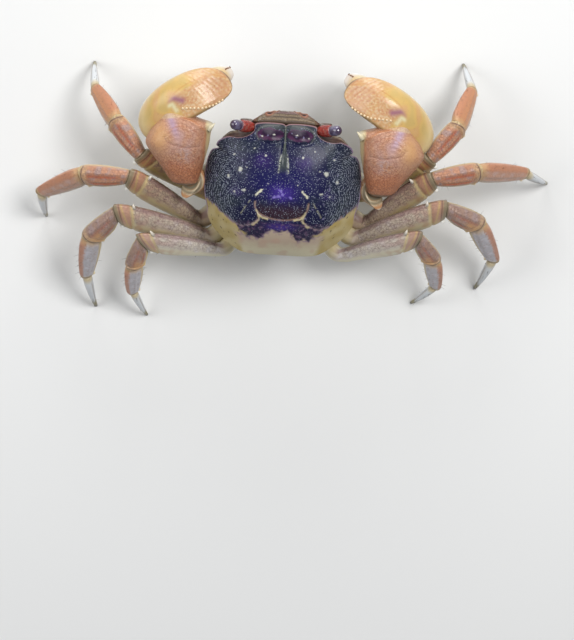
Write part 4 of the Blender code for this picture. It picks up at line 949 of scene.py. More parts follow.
def make_leg(number, side, hand):
    """One walking leg; its merus carries the short ischium that roots it on the sternum."""
    hip = Vector((*LEGS[number]["hip"], HIP_HEIGHT))
    joints = leg_joints(number, side)
    scale = LEG_SCALE[number]
    limbs = [(far - near).normalized() for near, far in zip(joints, joints[1:])]
    for i, segment in enumerate(SEGMENTS):
        start, end = joints[i], joints[i + 1]
        profile = SEGMENT_SIZES[segment]
        centres = [start.lerp(end, share) for share, deep, thick in profile]
        sizes = [(deep * scale, thick * scale) for share, deep, thick in profile]
        rolls = [SEGMENT_ROLL[segment]] * len(profile)
        start_plane = (start, (limbs[i - 1] + limbs[i]).normalized()) if i else None
        end_plane = (end, (limbs[i] + limbs[i + 1]).normalized()) if i + 1 < len(limbs) else None
        if segment == "merus":
            inner = Vector((hip.x * 0.45, hip.y * 0.8, hip.z - 0.4))
            start_plane = (hip, (hip - inner).normalized())
            bow = start - limbs[0] * (start - hip).length * 0.45
            shares = [share for share, deep, thick in ISCHIUM_SIZES]
            centres = [hip.lerp(bow, share).lerp(bow.lerp(start, share), share) for share in shares] + centres
            sizes = [(deep * scale, thick * scale) for share, deep, thick in ISCHIUM_SIZES] + sizes
            rolls = [SEGMENT_ROLL[segment] * share * 0.8 for share in shares] + rolls
        if segment == "dactyl":
            forward = limbs[i].cross(UP).normalized()
            upward = forward.cross(limbs[i]).normalized()
            centres = [centre + upward * DACTYL_BOW * scale * 4 * share * (1 - share)
                       for centre, (share, deep, thick) in zip(centres, profile)]
        relief, tint, finish, slot = LEG_LOOKS[segment]
        mesh, points, share, across, rise, straight = tube(centres, sizes, rolls, start_plane, end_plane,
                                                           relief=relief)
        if segment == "dactyl":
            points[:, 2] = np.maximum(points[:, 2], 0.0)
        dress(mesh, points, tint(share, across, rise, straight, number), straight + number * CHART_SHIFT)
        if segment == "merus":
            spine, height, radius = MERUS_SPINE
            edge = Vector(tube_point(points, share, across, rise, (spine, 0.0, 1.0)))
            out = (edge - start.lerp(end, spine)).normalized()
            tip = edge + out * height * 0.8 + limbs[i] * 0.7
            add_shapes(mesh, (0.80, 0.74, 0.64), cones=((edge - out * 0.4, tip, radius),))
            knob = tube_point(points, share, across, rise, (0.975, -0.45, -0.85))
            add_shapes(mesh, (0.86, 0.85, 0.80), balls=((knob, 0.62 * scale),))
        if segment in ("carpus", "propodus"):
            knob = tube_point(points, share, across, rise, (0.965, -0.6, -0.8))
            add_shapes(mesh, (0.72, 0.62, 0.42), balls=((knob, 0.42 * scale),))
        chart = (number - 2 + (4 if hand < 0 else 0)) / 8 + i / 36 + 0.01
        grow_hairs(points, (start, limbs[i]), share, rise, segment, chart, hand)
        stand_for("leg_%d_%s_%s" % (number, side, segment), mesh, finish, hand)


for side_name, side_hand in SIDES:
    for leg_number in LEGS:
        make_leg(leg_number, side_name, side_hand)

# Chelipeds
# The two arms of the claws: a stout merus from beside the mouth up to the elbow, and in front of it the
# broad wrinkled carpus plate, pink-orange with a lilac corner where it meets the palm.
CLAW_HIP = Vector((8.6, -6.6, 12.0))
CLAW_ELBOW = Vector((21.3, 0.6, 25.0))
CLAW_MERUS_SIZES = ((0.0, 4.4, 4.2), (0.2, 5.2, 4.6), (0.5, 6.2, 5.2), (0.8, 6.2, 4.9), (1.0, 5.4, 4.4))
CLAW_MERUS_ROLL = 20
CARPUS_SECTIONS = (
    # y, inner and outer edge, top and bottom
    (0.6, 20.6, 24.4, 27.4, 24.6), (-0.6, 19.6, 26.0, 29.4, 23.2), (-3.3, 18.75, 27.9, 31.7, 21.4),
    (-6.7, 18.0, 30.6, 33.2, 20.6), (-9.3, 17.4, 32.0, 33.9, 20.8), (-12.2, 17.1, 30.9, 34.0, 22.0),
    (-14.2, 16.6, 29.4, 33.6, 24.0), (-15.3, 19.6, 28.6, 33.0, 25.6), (-16.6, 23.4, 27.8, 31.9, 27.6),
)
CLAW_ROOT = (((8.7, -7.0, 11.9), 2.35), ((10.6, -6.3, 13.2), 2.55))
ELBOW_RINGS = (
    # radius, half width and colour
    (1.6, 0.5, (0.19, 0.18, 0.125)), (2.25, 0.14, (0.56, 0.50, 0.34)),
    (2.65, 0.3, (0.20, 0.19, 0.13)), (3.1, 0.13, (0.52, 0.46, 0.32)),
)
CARPUS_SPINE = ((17.7, -13.0, 31.5), (16.2, -14.65, 31.7), 0.8)
PLATE_CREASE = bent(((27.4, -11.0), (26.6, -9.8), (24.6, -9.2), (22.0, -8.9), (19.6, -9.2)))
PLATE_OVAL = bent(((27.0, -11.8), (24.6, -13.6), (21.2, -13.2), (19.1, -11.0), (19.0, -8.0), (20.0, -5.6)))
PLATE_RIM = bent(((17.9, -4.0), (18.4, -9.0), (18.2, -12.6), (21.0, -14.6), (25.6, -15.9)))
PLATE_ROUNDING = 0.8
PLATE_AHEAD = Vector((0.25, -0.93, 0.25))


def carpus_plate():
    """The carpus of the left cheliped, lofted from the elbow forwards."""
    rows = 150
    mesh, down, turn = ball(columns=110, rows=rows)
    body, cap = capped(down, rows)
    y, near, far, top, bottom = curve(numbered(CARPUS_SECTIONS), body * (len(CARPUS_SECTIONS) - 1)).T
    across, rise = oval(turn)
    near_end = np.minimum(y - CARPUS_SECTIONS[-1][0], CARPUS_SECTIONS[0][0] - y)
    lost = PLATE_ROUNDING * rounded(near_end, PLATE_ROUNDING)
    squeeze = np.where(rise > 0, 1.0, 1.0 - 0.3 * rise ** 2)
    half = ((far - near) / 2 - lost) * cap
    tall = ((top - bottom) / 2 - lost) * cap
    x = (near + far) / 2 + across * squeeze * half
    z = (top + bottom) / 2 + rise * tall
    radius = np.hypot(x - 24.6, y + 8.6)
    wander = cloud(np.stack([x, y, z], axis=1), 2.6)
    rings = 0.045 * np.sin(radius * 2 * math.pi / 0.95 + wander * 4.0) * step(y, -5.0, -8.0)
    crease = stroke(x, y, PLATE_CREASE, 0.28)
    rim = stroke(x, y, PLATE_RIM, 0.25)
    fan = np.arctan2(x - 23.2, -(y + 5.0))
    folds = 0.05 * np.sin(fan * 26 + wander * 3.0) * blot(x, y, (23.0, -7.2), (2.6, 2.2))
    z = z + (rings + folds - 0.13 * crease + 0.15 * rim) * step(rise, 0.1, 0.5) * cap
    return mesh, np.stack([x, y, z], axis=1), rise


def carpus_plate_tint(points, rise):
    """Pink-orange, redder towards the elbow, lilac at its front corner and yellow at its outer edge."""
    x, y = points.T[:2]
    wave = cloud(points, 1.8)
    fine = cloud(points, 0.5, 3.0)
    corner = stroke(x, y, bent(((26.6, -16.0), (26.0, -14.6), (25.2, -12.6), (24.4, -10.4))), 1.0)
    line = stroke(x, y, ((18.4, -3.0), (18.5, -9.0), (18.2, -12.8), (21.0, -14.9), (25.6, -16.1)), 0.2)
    inner = 17.75 + np.interp(-y, (0.0, 3.3, 12.0, 14.0), (0.9, 0.25, -0.1, 0.2))
    cream = step(x - inner, 0.5, 0.1) * step(rise, -0.2, 0.2)
    veins = (0.6 + 0.4 * step(y, -9.5, -4.0)) * (1 - 0.7 * corner)
    veins = veins * (1 - cream) * (1 - 0.8 * blot(x, y, (28.6, -11.0), (1.6, 3.4))) * step(rise, 0.0, 0.3)
    colour = coated(even((0.47, 0.245, 0.145), x), (
        ((0.44, 0.27, 0.235), 0.8 * blot(x, y, (23.6, -9.8), (4.0, 4.6)) * step(wave, -0.6, 0.2)),
        ((0.47, 0.170, 0.070), 0.8 * step(y + 1.2 * wave, -7.5, -3.0)),
        ((0.42, 0.33, 0.33), 0.6 * blot(x, y, (22.8, -7.0), (1.8, 2.2)) * step(fine, -0.2, 0.2)),
        ((0.52, 0.29, 0.11), 0.75 * blot(x, y, (28.4, -11.0), (2.2, 3.4))),
        ((0.33, 0.24, 0.36), 0.75 * corner * step(y, -9.5, -13.5)),
        ((0.24, 0.105, 0.070), 0.55 * stroke(x, y, PLATE_CREASE, 0.13)),
        ((0.40, 0.15, 0.07), 0.45 * stroke(x, y, PLATE_OVAL, 0.15)),
        ((0.48, 0.19, 0.07), 0.7 * line * step(rise, 0.0, 0.2)),
        ((0.58, 0.46, 0.24), 0.9 * cream),
        ((0.56, 0.42, 0.24), 0.7 * step(y + 0.16 * (22 - x), -15.7, -16.2)),
        ((0.54, 0.42, 0.20), 0.9 * step(rise, 0.05, -0.3)),
        ((0.17, 0.165, 0.12), 0.85 * step(y, -0.25, 0.2)),
        ((0.60, 0.54, 0.38), 1.3 * blot(x, y, (16.9, -13.9), (0.9, 0.8))),
    ))
    return np.column_stack([colour, veins])


def cheliped_merus_tint(share, across, straight, points):
    """Orange with a cream underside; grey-green and cream rings of soft skin at the elbow."""
    wave = cloud(straight, 1.5)
    x, y = points.T[:2]
    spread = np.hypot(x - 21.5, y + 0.3)
    elbow = step(share, 0.66, 0.74)
    colour = coated(even((0.40, 0.21, 0.115), share), (
        ((0.30, 0.22, 0.12), 0.7 * step(wave, 0.0, 0.4)),
        ((0.60, 0.54, 0.38), step(across, 0.0, 0.6)),
        ((0.44, 0.22, 0.10), elbow),
        *((shade, 0.95 * elbow * bell(spread, radius, width)) for radius, width, shade in ELBOW_RINGS),
        ((0.66, 0.62, 0.50), elbow * step(spread, 3.9, 4.2)),
    ))
    return np.column_stack([colour, step(share, 0.74, 0.66) * step(across, 0.6, 0.0)])


arm_finish = limb_finish("arm_orange", 0.42, 0.8, 0.5)
plate_finish = limb_finish("plate_pink", 0.40, 0.85, 0.8, (0.27, 0.075, 0.038))

for side_name, side_hand in SIDES:
    arm = (CLAW_ELBOW - CLAW_HIP).normalized()
    mesh, points, share, across, rise, straight = tube(
        [CLAW_HIP.lerp(CLAW_ELBOW, share) for share, deep, thick in CLAW_MERUS_SIZES],
        [(deep, thick) for share, deep, thick in CLAW_MERUS_SIZES], [CLAW_MERUS_ROLL] * len(CLAW_MERUS_SIZES),
        (CLAW_HIP, arm), (CLAW_ELBOW, (arm + PLATE_AHEAD.normalized()).normalized()))
    dress(mesh, points, cheliped_merus_tint(share, across, straight, points), straight)
    add_shapes(mesh, (0.64, 0.61, 0.52), CLAW_ROOT)
    stand_for("cheliped_%s_merus" % side_name, mesh, arm_finish, side_hand)
    mesh, points, rise = carpus_plate()
    dress(mesh, points, carpus_plate_tint(points, rise), points)
    add_shapes(mesh, (0.60, 0.54, 0.38), cones=(CARPUS_SPINE,))
    stand_for("cheliped_%s_carpus" % side_name, mesh, plate_finish, side_hand)

# Palms and fingers
# The claw hand: a high ochre palm that runs down into the fixed finger, with a fluted crest and a row of
# beads on top, and the hinged finger closed against it. White towards the tips, which are amber horn.
PALM_ORIGIN = np.array((22.8, -20.6, 24.0))
PALM_BEARING = math.radians(29.6)
PALM_BEND = 0.0125
PALM_MIDDLE = 2.0
PALM_SECTIONS = (
    # inner edge across and height, outer edge across and height, arch, back face and front face
    (8.8, 5.5, -4.2, 8.0, 1.9, -3.9, 0.9), (9.7, 5.0, -6.0, 7.6, 1.8, -4.8, 2.4),
    (9.8, 4.2, -9.4, 6.2, 1.2, -5.2, 4.6), (5.8, 3.5, -12.5, 3.9, 0.6, -5.1, 5.1),
    (3.8, 2.6, -13.7, 1.6, 0.0, -4.8, 5.0), (2.1, 1.0, -13.6, -0.6, 0.0, -4.5, 4.9),
    (1.3, -1.1, -12.3, -2.9, 0.0, -4.1, 4.5), (2.6, -3.4, -10.4, -5.2, 0.0, -3.6, 3.9),
    (2.5, -5.9, -8.1, -7.6, 0.0, -3.1, 3.3), (3.2, -8.8, -4.8, -10.5, 0.0, -2.6, 2.7),
    (5.0, -11.4, -1.2, -13.4, 0.0, -2.1, 2.2), (6.7, -14.2, 2.4, -16.0, 0.0, -1.4, 1.7),
    (8.3, -17.1, 6.5, -17.9, 0.0, -0.5, 0.9),
)
FINGER_SECTIONS = (
    (5.2, 2.2, 9.3, 3.0, 0.3, -0.6, 2.3), (4.4, 1.2, 9.9, 1.9, 0.0, -1.4, 2.9),
    (4.0, -0.9, 10.3, -0.4, 0.0, -1.8, 3.1), (4.5, -3.3, 10.6, -2.8, 0.0, -1.8, 2.9),
    (5.6, -5.9, 10.8, -5.6, 0.0, -1.5, 2.6), (6.6, -8.8, 10.8, -8.3, 0.0, -1.3, 2.3),
    (7.6, -11.8, 10.7, -11.0, 0.0, -1.0, 2.0), (8.4, -14.5, 10.2, -14.0, 0.0, -0.7, 1.6),
    (9.1, -17.3, 9.8, -17.2, 0.0, -0.2, 1.0),
)
BEADS = (12, -2.2, 6.6, 0.31)
BEAD_ROW = ((-2.2, -1.9), (0.0, -3.1), (2.0, -4.2), (4.5, -4.6), (6.6, -4.3))
FLUTES = (10, -1.4, 8.2)
FLUTE_TILT = 1.6
TEETH = ((2.0, -1.8, 0.7), (2.8, -3.0, 1.1), (2.3, -4.7, 0.55), (2.7, -5.8, 0.85), (2.9, -7.6, 0.4),
         (3.3, -8.8, 0.65), (4.4, -10.8, 0.4))
TOOTH_OUT = 0.4
PEG_COUNT = 15
PEG_SPAN = (-8.4, -14.6)
PEG_RADIUS = 0.12
NODULES = ((0.6, 0.24), (-0.7, 0.22), (-2.2, 0.25), (-4.0, 0.17), (-6.2, 0.24))


def claw_points(across, height, out):
    """Points of the left claw: across its face towards the midline, up it, and proud of it."""
    bend = -PALM_BEND * (across - PALM_MIDDLE) ** 2 + out
    x = PALM_ORIGIN[0] - math.cos(PALM_BEARING) * across + math.sin(PALM_BEARING) * bend
    y = PALM_ORIGIN[1] - math.sin(PALM_BEARING) * across - math.cos(PALM_BEARING) * bend
    return np.stack([x, y, PALM_ORIGIN[2] + height], axis=-1)


def claw_loft(sections, rows, columns, cap_rows, rounding):
    """A closed loft over sections of the claw, with each point's place across, up and out of its face."""
    mesh, down, turn = ball(columns, rows)
    body = np.clip((down - cap_rows) / (rows - cap_rows - CAP_ROWS), 0.0, 1.0)
    index = body * (len(sections) - 1)
    inner, inner_height, outer, outer_height, arch, back, front = curve(numbered(sections), index).T
    wide, proud = oval(turn)
    cap = np.minimum(np.minimum(down / cap_rows, (rows - down) / CAP_ROWS), 1.0)
    top_edge = 1 - rounding * rounded(index, 0.5)
    wide = wide * cap * top_edge
    proud = proud * cap * top_edge
    part = (wide + 1) / 2
    across = outer + (inner - outer) * part
    height = outer_height + (inner_height - outer_height) * part + arch * (1 - wide ** 2)
    out = (back + front + proud * (front - back)) / 2
    return mesh, across, height, out, index, wide


def crest_flutes(across, out, index):
    """Ridges that run obliquely over the top of the palm, strong at its inner end and fainter outwards."""
    count, first, last = FLUTES
    lean = across + FLUTE_TILT * (out + 1.0) / 5.7 + 0.05 * (out + 1.5) ** 2
    pitch = (last - first) / (count - 1)
    comb = 0.5 + 0.5 * np.cos((lean - first) / pitch * 2 * math.pi)
    window = step(lean, first - pitch * 0.7, first - pitch * 0.3)
    window = window * step(lean, last + pitch * 0.7, last + pitch * 0.3)
    strong = ramp(across, ((-1.0, 0.0), (2.0, 0.3), (5.0, 0.6), (7.0, 1.0)))
    strong = strong * ramp(out, ((-3.5, 0.2), (0.0, 0.6), (1.5, 1.0)))
    return comb * window * strong * step(index, 2.3, 1.7)


def palm_tint(across, height, out, index, wide, flutes):
    """Ochre on top and cream on its face, white below, a pink-orange crest and amber horn at the tip."""
    spots = np.stack([across, height, out], axis=1)
    wave = cloud(spots, 2.4)
    fine = cloud(spots, 0.45, 5.0)
    crest = step(index, 1.0, 0.45) * step(out, 2.2, 1.2) * step(across, -3.6, -2.2)
    crest = np.maximum(crest, step(index, 2.4, 1.7) * step(across, 1.0, 4.6))
    shade = crest * (1 - flutes) * ramp(across, ((1.0, 0.0), (5.0, 1.0))) * step(index, 1.0, 0.3)
    line = bell(index, 1.0, 0.07) * step(out, 0.0, 1.2) * step(across, -4.0, -2.0)
    wrist = stroke(across, out, ((-5.2, 1.5), (-3.4, 1.4), (-1.5, -0.3)), 0.7) * step(index, 1.2, 0.6)
    knuckle = stroke(across, out, ((-4.9, 0.4), (-4.0, 0.1), (-3.7, -1.6)), 0.5) * step(index, 1.2, 0.6)
    gape = stroke(across, height, ((4.9, 3.2), (3.4, 1.6), (2.4, -0.6)), 1.05) * step(out, 4.0, 2.0)
    under = step(across, 3.6, 5.0) * step(height, 5.2, 4.6) * step(height, -1.5, 0.5) * step(index, 1.0, 1.5)
    slit = stroke(across, height, ((0.6, 2.1), (0.3, 1.1)), 0.16) * step(out, 2.0, 3.5)
    horn = np.maximum(step(height, -13.6, -14.6) * step(wide, 0.86, 0.97), step(height, -17.0, -17.5))
    return coated(even((0.54, 0.355, 0.115), across), (
        ((0.52, 0.26, 0.11), 0.8 * step(wave, 0.0, 0.4) * step(height, 0.0, 4.0)),
        ((0.45, 0.325, 0.115), 0.5 * step(wave, -0.1, -0.4) * step(height, 0.0, 4.0)),
        ((0.64, 0.51, 0.27), step(height, 6.0, 2.6)),
        ((0.76, 0.68, 0.47), step(height, 3.4, -0.5)),
        ((0.84, 0.82, 0.75), step(height, 0.5, -5.5)),
        ((0.66, 0.50, 0.23), 0.5 * step(across, -9.0, -13.0) * step(height, -4.0, 2.0)),
        ((0.56, 0.40, 0.17), 0.4 * step(wave, 0.1, 0.5) * step(height, -2.0, 2.0)),
        ((0.80, 0.76, 0.62), 0.6 * blot(across, height, (1.0, 0.0), (2.6, 4.6)) * step(out, 2.0, 4.0)),
        ((0.51, 0.295, 0.145), crest * (0.7 + 0.25 * step(wave, -0.3, 0.4))),
        ((0.60, 0.45, 0.29), crest * 0.55 * step(fine, 0.1, 0.35)),
        ((0.44, 0.16, 0.085), crest * 0.5 * step(fine, -0.15, -0.4)),
        ((0.54, 0.38, 0.26), crest * 0.5 * step(flutes, 0.35, 0.8)),
        ((0.40, 0.18, 0.10), 0.4 * step(shade, 0.4, 0.95)),
        ((0.44, 0.19, 0.06), 0.5 * line),
        # darker back face towards the carpus: partly the colour of the joint there, partly painted shade
        # between palm and carpus
        ((0.36, 0.24, 0.12), 0.7 * step(out, -2.8, -4.2) * step(index, 0.35, 0.9)),
        ((0.27, 0.105, 0.17), 0.85 * wrist),
        ((0.64, 0.57, 0.34), 1.1 * knuckle),
        ((0.15, 0.10, 0.06), gape * 0.9),
        ((0.14, 0.085, 0.055), 0.85 * under),
        ((0.25, 0.17, 0.06), 0.8 * slit),
        ((0.25, 0.125, 0.012), horn),
    ))


def finger_tint(across, height, out, index, wide):
    """White, cream at its hinge, brown along its back, and amber horn where it meets the other."""
    spots = np.stack([across, height, out], axis=1)
    wave = cloud(spots, 1.6)
    back = step(wide, -0.6, -0.9)
    biting = step(wide, 0.6, 0.9)
    horn = np.maximum(step(height, -12.6, -13.8) * step(wide, 0.55, 0.9), step(height, -16.9, -17.3))
    return coated(even((0.74, 0.76, 0.78), across), (
        ((0.70, 0.68, 0.60), 0.4 * step(wave, 0.0, 0.5)),
        ((0.60, 0.47, 0.22), 0.9 * step(index, 3.0, 1.0)),
        ((0.56, 0.33, 0.12), 0.5 * back * step(height, -9.5, -6.0)),
        ((0.64, 0.55, 0.36), 0.5 * biting * step(wave, -0.2, 0.3)),
        ((0.10, 0.05, 0.02), 0.85 * blot(across, out, (8.6, -0.2), (0.8, 0.6)) * step(index, 0.6, 0.2)),
        ((0.25, 0.125, 0.012), horn),
    ))


def finger_edge(height, wide, fronts, low, share):
    """Number of the point on the front of the finger nearest a height and a share of its half width."""
    return int(np.argmin(np.abs(height - low) + 4 * np.abs(wide - share) + 100 * ~fronts))


def bead_point(spot):
    """The middle of a bead on the top edge of the palm, at a place across the claw."""
    inner, inner_height, outer, outer_height, arch, back = PALM_SECTIONS[0][:6]
    part = (spot - outer) / (inner - outer)
    top = outer_height + (inner_height - outer_height) * part + arch * (1 - (2 * part - 1) ** 2)
    depth = float(ramp(spot, BEAD_ROW))
    return claw_points(spot, top - 0.5 * max(0.0, back - depth), depth)


def claw_finish(name):
    finish = Finish(name)
    where = finish.stored("straight")
    tint = finish.stored("tint")
    dots = 1 - finish.rise(finish.cells(where, 0.62), 0.10, 0.2)
    fine = finish.lumps(where, 0.35, 4.0)
    dotted = finish.mix(tint, (0.30, 0.17, 0.06), dots * 0.25)
    mottled = finish.mottle(dotted, fine, 0.5)
    finish.set(Base_Color=mottled, Roughness=0.33, Coat_Weight=0.25, Coat_Roughness=0.18,
               Specular_IOR_Level=0.4)
    finish.bump(fine * 0.4 - dots * 0.8, 0.06)
    return finish


palm_finish = claw_finish("palm_ochre")
finger_finish = claw_finish("finger_ivory")

for side_name, side_hand in SIDES:
    mesh, across, height, out, index, wide = claw_loft(PALM_SECTIONS, rows=210, columns=150, cap_rows=46,
                                                       rounding=0.12)
    flutes = crest_flutes(across, out, index)
    points = claw_points(across, height + flutes * 0.1, out + flutes * 0.22 * step(index, 0.7, 1.1))
    dress(mesh, points, palm_tint(across, height, out, index, wide, flutes),
          np.stack([across, height, out], axis=1))
    count, first, last, radius = BEADS
    beads = [(bead_point(first + (last - first) * i / (count - 1)), radius) for i in range(count)]
    add_shapes(mesh, (0.66, 0.50, 0.31), beads)
    teeth = [(claw_points(spot, level, TOOTH_OUT), radius) for spot, level, radius in TEETH]
    add_shapes(mesh, (0.78, 0.71, 0.52), teeth, subdivisions=3)
    stand_for("cheliped_%s_palm" % side_name, mesh, palm_finish, side_hand)
    mesh, across, height, out, index, wide = claw_loft(FINGER_SECTIONS, rows=170, columns=90, cap_rows=24,
                                                       rounding=0.3)
    points = claw_points(across, height, out)
    dress(mesh, points, finger_tint(across, height, out, index, wide),
          np.stack([across, height, out], axis=1))
    fronts = out > 0.4
    nodules = [(points[finger_edge(height, wide, fronts, low, -0.93)], radius) for low, radius in NODULES]
    add_shapes(mesh, (0.16, 0.060, 0.020), nodules)
    pegs = [(points[finger_edge(height, wide, fronts, low, -0.87)], PEG_RADIUS)
            for low in np.linspace(*PEG_SPAN, PEG_COUNT)]
    add_shapes(mesh, (0.02, 0.012, 0.01), pegs, subdivisions=1)
    stand_for("cheliped_%s_finger" % side_name, mesh, finger_finish, side_hand)

# Face
# The front turned down over the pits where the antennules fold, brown chitin with a pale lower edge.
FACE_HALF_WIDTH = 7.7
FACE_PROFILE = (
    (-15.95, 31.0), (-17.3, 30.4), (-18.2, 29.4), (-17.9, 28.6), (-17.6, 27.7), (-16.9, 27.0), (-15.6, 26.4),
)
FACE_FADE = ((0.0, 1.0), (0.4, 0.95), (0.65, 0.80), (0.82, 0.55), (1.0, 0.12))
FOSSA = (3.3, 29.45)     # middle of the pit of an antennule, x and z
FOSSA_SIZE = (1.15, 0.58)
FOSSA_TILT = math.radians(22)
FACE_ROWS = 260
ANTENNULE_OUT = 2.05      # how far the beads stand before the wall behind the face
PEARLS_OUT = 0.75
ANTENNULE = ((2.75, 29.2, 0.28), (3.25, 29.42, 0.36), (3.8, 29.66, 0.26))
EPISTOME = bent(((5.3, 28.0), (4.2, 27.5), (2.7, 26.8)))
FACE_ARCH = bent(((-5.4, 28.6), (-3.4, 28.35), (-1.9, 28.75), (0.0, 28.35), (1.9, 28.75), (3.4, 28.35),
                  (5.4, 28.6)))
# line of the painted highlight along the upper edge of the violet blades
BLADE_PAINTED_HIGHLIGHT = bent(((5.5, 28.25), (4.6, 27.95), (3.6, 27.5)))
LIP = bent(((0.0, 26.55), (1.3, 26.95), (2.7, 26.95), (4.6, 26.75), (5.9, 26.3)))
PEARLS = ((6.35, 27.85, 0.32), (7.35, 28.2, 0.3))


def wall_front(z):
    """The y that just clears the sloping front wall, at a height."""
    top = (MARGIN[2][1], MARGIN[2][2])
    slope_y, slope_z = FRONT_RIM - top[0], SHELL_FLOOR - top[1]
    return top[0] + (z - top[1]) * slope_y / slope_z - 0.02


def fossa_spread(ax, z):
    """0 in the middle of an antennule's pit and 1 on its edge."""
    along = (ax - FOSSA[0]) * math.cos(FOSSA_TILT) + (z - FOSSA[1]) * math.sin(FOSSA_TILT)
    over = (z - FOSSA[1]) * math.cos(FOSSA_TILT) - (ax - FOSSA[0]) * math.sin(FOSSA_TILT)
    return np.hypot(along / FOSSA_SIZE[0], over / FOSSA_SIZE[1])


def face_bar():
    mesh, down, turn = ball(columns=120, rows=FACE_ROWS)
    body, cap = capped(down, FACE_ROWS)
    x = (2 * body - 1) * FACE_HALF_WIDTH
    last = len(FACE_PROFILE) - 1
    where = (turn / (2 * math.pi)) % 1.0 * (last + 1)
    profile = curve(numbered(FACE_PROFILE), np.minimum(where, last))
    behind = np.clip(where - last, 0.0, 1.0)
    z = profile[:, 1] + behind * (FACE_PROFILE[0][1] - FACE_PROFILE[-1][1])
    back = wall_front(z)
    proud = np.where(where > last, 0.0, profile[:, 0] - back)
    ax = np.abs(x)
    spread = fossa_spread(ax, z)
    pit = np.exp(-spread ** 3)
    rim = bell(spread, 1.4, 0.25)
    arch = stroke(x, z, FACE_ARCH, 0.25)
    blade = stroke(ax, z, EPISTOME, 0.32)
    lip = stroke(ax, z, LIP, 0.2)
    notch = 0.14 * bell(x, 0.0, 0.55) * step(z, 28.8, 29.6)
    shelf = 0.22 * bell(z, 30.2, 0.16)
    relief = -1.0 * pit + 0.2 * rim + 0.2 * arch + 0.3 * blade + 0.25 * lip - notch + shelf
    y = back + proud * ramp(ax / FACE_HALF_WIDTH, FACE_FADE) - np.where(proud < -0.2, relief, 0.0)
    y = back + (y - back) * cap
    narrow = ramp(ax / FACE_HALF_WIDTH, ((0.0, 1.0), (0.84, 1.0), (1.0, 0.45)))
    z = 28.4 + (z - 28.4) * (0.2 + 0.8 * cap) * narrow
    return mesh, np.stack([x, y, z], axis=1)


def face_tint(points):
    """Brown, striped along the front edge, with rust-rimmed pits painted dark inside as shade, and violet
    blades over the mouth with a painted highlight along their upper edge.
    """
    x, z = points[:, 0], points[:, 2]
    wave = cloud(points, 1.1)
    fine = cloud(points, 0.35, 4.0)
    ax = np.abs(x)
    top = step(z, 30.0, 30.35)
    stripe = bell(np.mod(z + 0.05 * wave, 0.36), 0.18, 0.07)
    spread = fossa_spread(ax, z)
    flecks = step(z, 28.3, 27.9) * step(ax, 4.2, 3.2) * step(fine, 0.15, 0.4)
    return coated(even((0.075, 0.036, 0.024), x), (
        ((0.15, 0.075, 0.052), step(wave, -0.1, 0.4) * 0.7),
        ((0.17, 0.105, 0.070), 0.7 * blot(ax, z, (5.4, 29.3), (1.0, 0.7))),
        ((0.085, 0.026, 0.048), 0.8 * step(z, 29.7, 30.0) * step(ax, 3.4, 2.4)),
        ((0.105, 0.072, 0.040), top),
        ((0.24, 0.175, 0.11), 0.75 * top * stripe * step(fine, -0.4, 0.1)),
        ((0.040, 0.022, 0.016), 0.6 * top * step(stripe, 0.2, 0.0)),
        ((0.15, 0.045, 0.032), 0.75 * bell(z, 30.1, 0.09)),
        ((0.26, 0.085, 0.045), 0.85 * bell(spread, 1.4, 0.2)),
        ((0.20, 0.15, 0.11), 0.5 * bell(spread, 1.85, 0.12)),
        # near-black painted shade inside the sunk pits
        ((0.030, 0.016, 0.016), step(spread, 1.15, 0.95)),
        ((0.30, 0.17, 0.085), 0.8 * stroke(x, z, FACE_ARCH, 0.14)),
        ((0.34, 0.155, 0.055), 0.7 * flecks),
        ((0.060, 0.025, 0.055), 0.6 * blot(x, z, (0.0, 27.7), (2.2, 0.5))),
        ((0.15, 0.14, 0.56), 0.95 * stroke(ax, z, EPISTOME, 0.30)),
        # painted highlight along the blades' upper edge
        ((0.45, 0.44, 0.66), 0.8 * stroke(ax, z, BLADE_PAINTED_HIGHLIGHT, 0.12)),
        ((0.46, 0.41, 0.36), 0.85 * stroke(ax, z, LIP, 0.16)),
    ))


def grained_finish(name, grain_size, **sockets):
    """A tinted chitin finish with a fine grain and no other marks."""
    finish = Finish(name)
    grain = finish.lumps(finish.place(), grain_size, 4.0)
    finish.set(Base_Color=finish.mottle(finish.stored("tint"), grain, 0.6), **sockets)
    finish.bump(grain, 0.08)
    return finish


face_finish = grained_finish("face_brown", 0.0003, Roughness=0.36, Coat_Weight=0.25, Coat_Roughness=0.25,
                             Specular_IOR_Level=0.4)
mesh, points = face_bar()
dress(mesh, points, face_tint(points), points)
for side_hand in (1, -1):
    for colour, proud, beads in (((0.24, 0.18, 0.19), ANTENNULE_OUT, ANTENNULE),
                                 ((0.52, 0.45, 0.38), PEARLS_OUT, PEARLS)):
        add_shapes(mesh, colour,
                   [((side_hand * x, wall_front(z) - proud, z), radius) for x, z, radius in beads])
stand_for("face", mesh, face_finish)

# Third maxillipeds
# The two doors of the mouth: pale plates with a diagonal ridge, hinged at the lower rim, and beside each,
# in the middle of the mouth, three beads of its palp. The lines lie across and down the sloping wall.
MAXILLIPED = (
    # distance down the face, inner edge and outer edge
    (5.2, 3.0, 4.4), (5.6, 2.1, 5.2), (6.3, 1.75, 5.6), (7.3, 1.9, 5.8), (8.5, 2.6, 5.85), (9.8, 3.6, 5.8),
    (10.6, 4.0, 5.65), (11.0, 3.8, 5.6), (12.0, 3.4, 5.5), (13.6, 3.2, 5.35), (15.6, 2.8, 5.0),
    (16.2, 3.3, 4.4),
)
DIAGONAL = ((2.0, 6.9), (2.6, 8.2), (3.6, 9.6), (4.6, 10.8))
SECOND_RIDGE = ((2.7, 7.6), (3.4, 8.6), (4.3, 9.8))
OUTER_EDGE = ((5.2, 5.9), (5.6, 7.4), (5.65, 9.6), (5.4, 10.6))
ISCHIUM_EDGE = ((3.9, 11.3), (3.7, 12.6), (3.5, 15.4))
MAXILLIPED_JOINT = 10.9
PALPS = ((0.66, 9.3, 0.36), (0.68, 9.75, 0.40), (0.66, 10.2, 0.34))


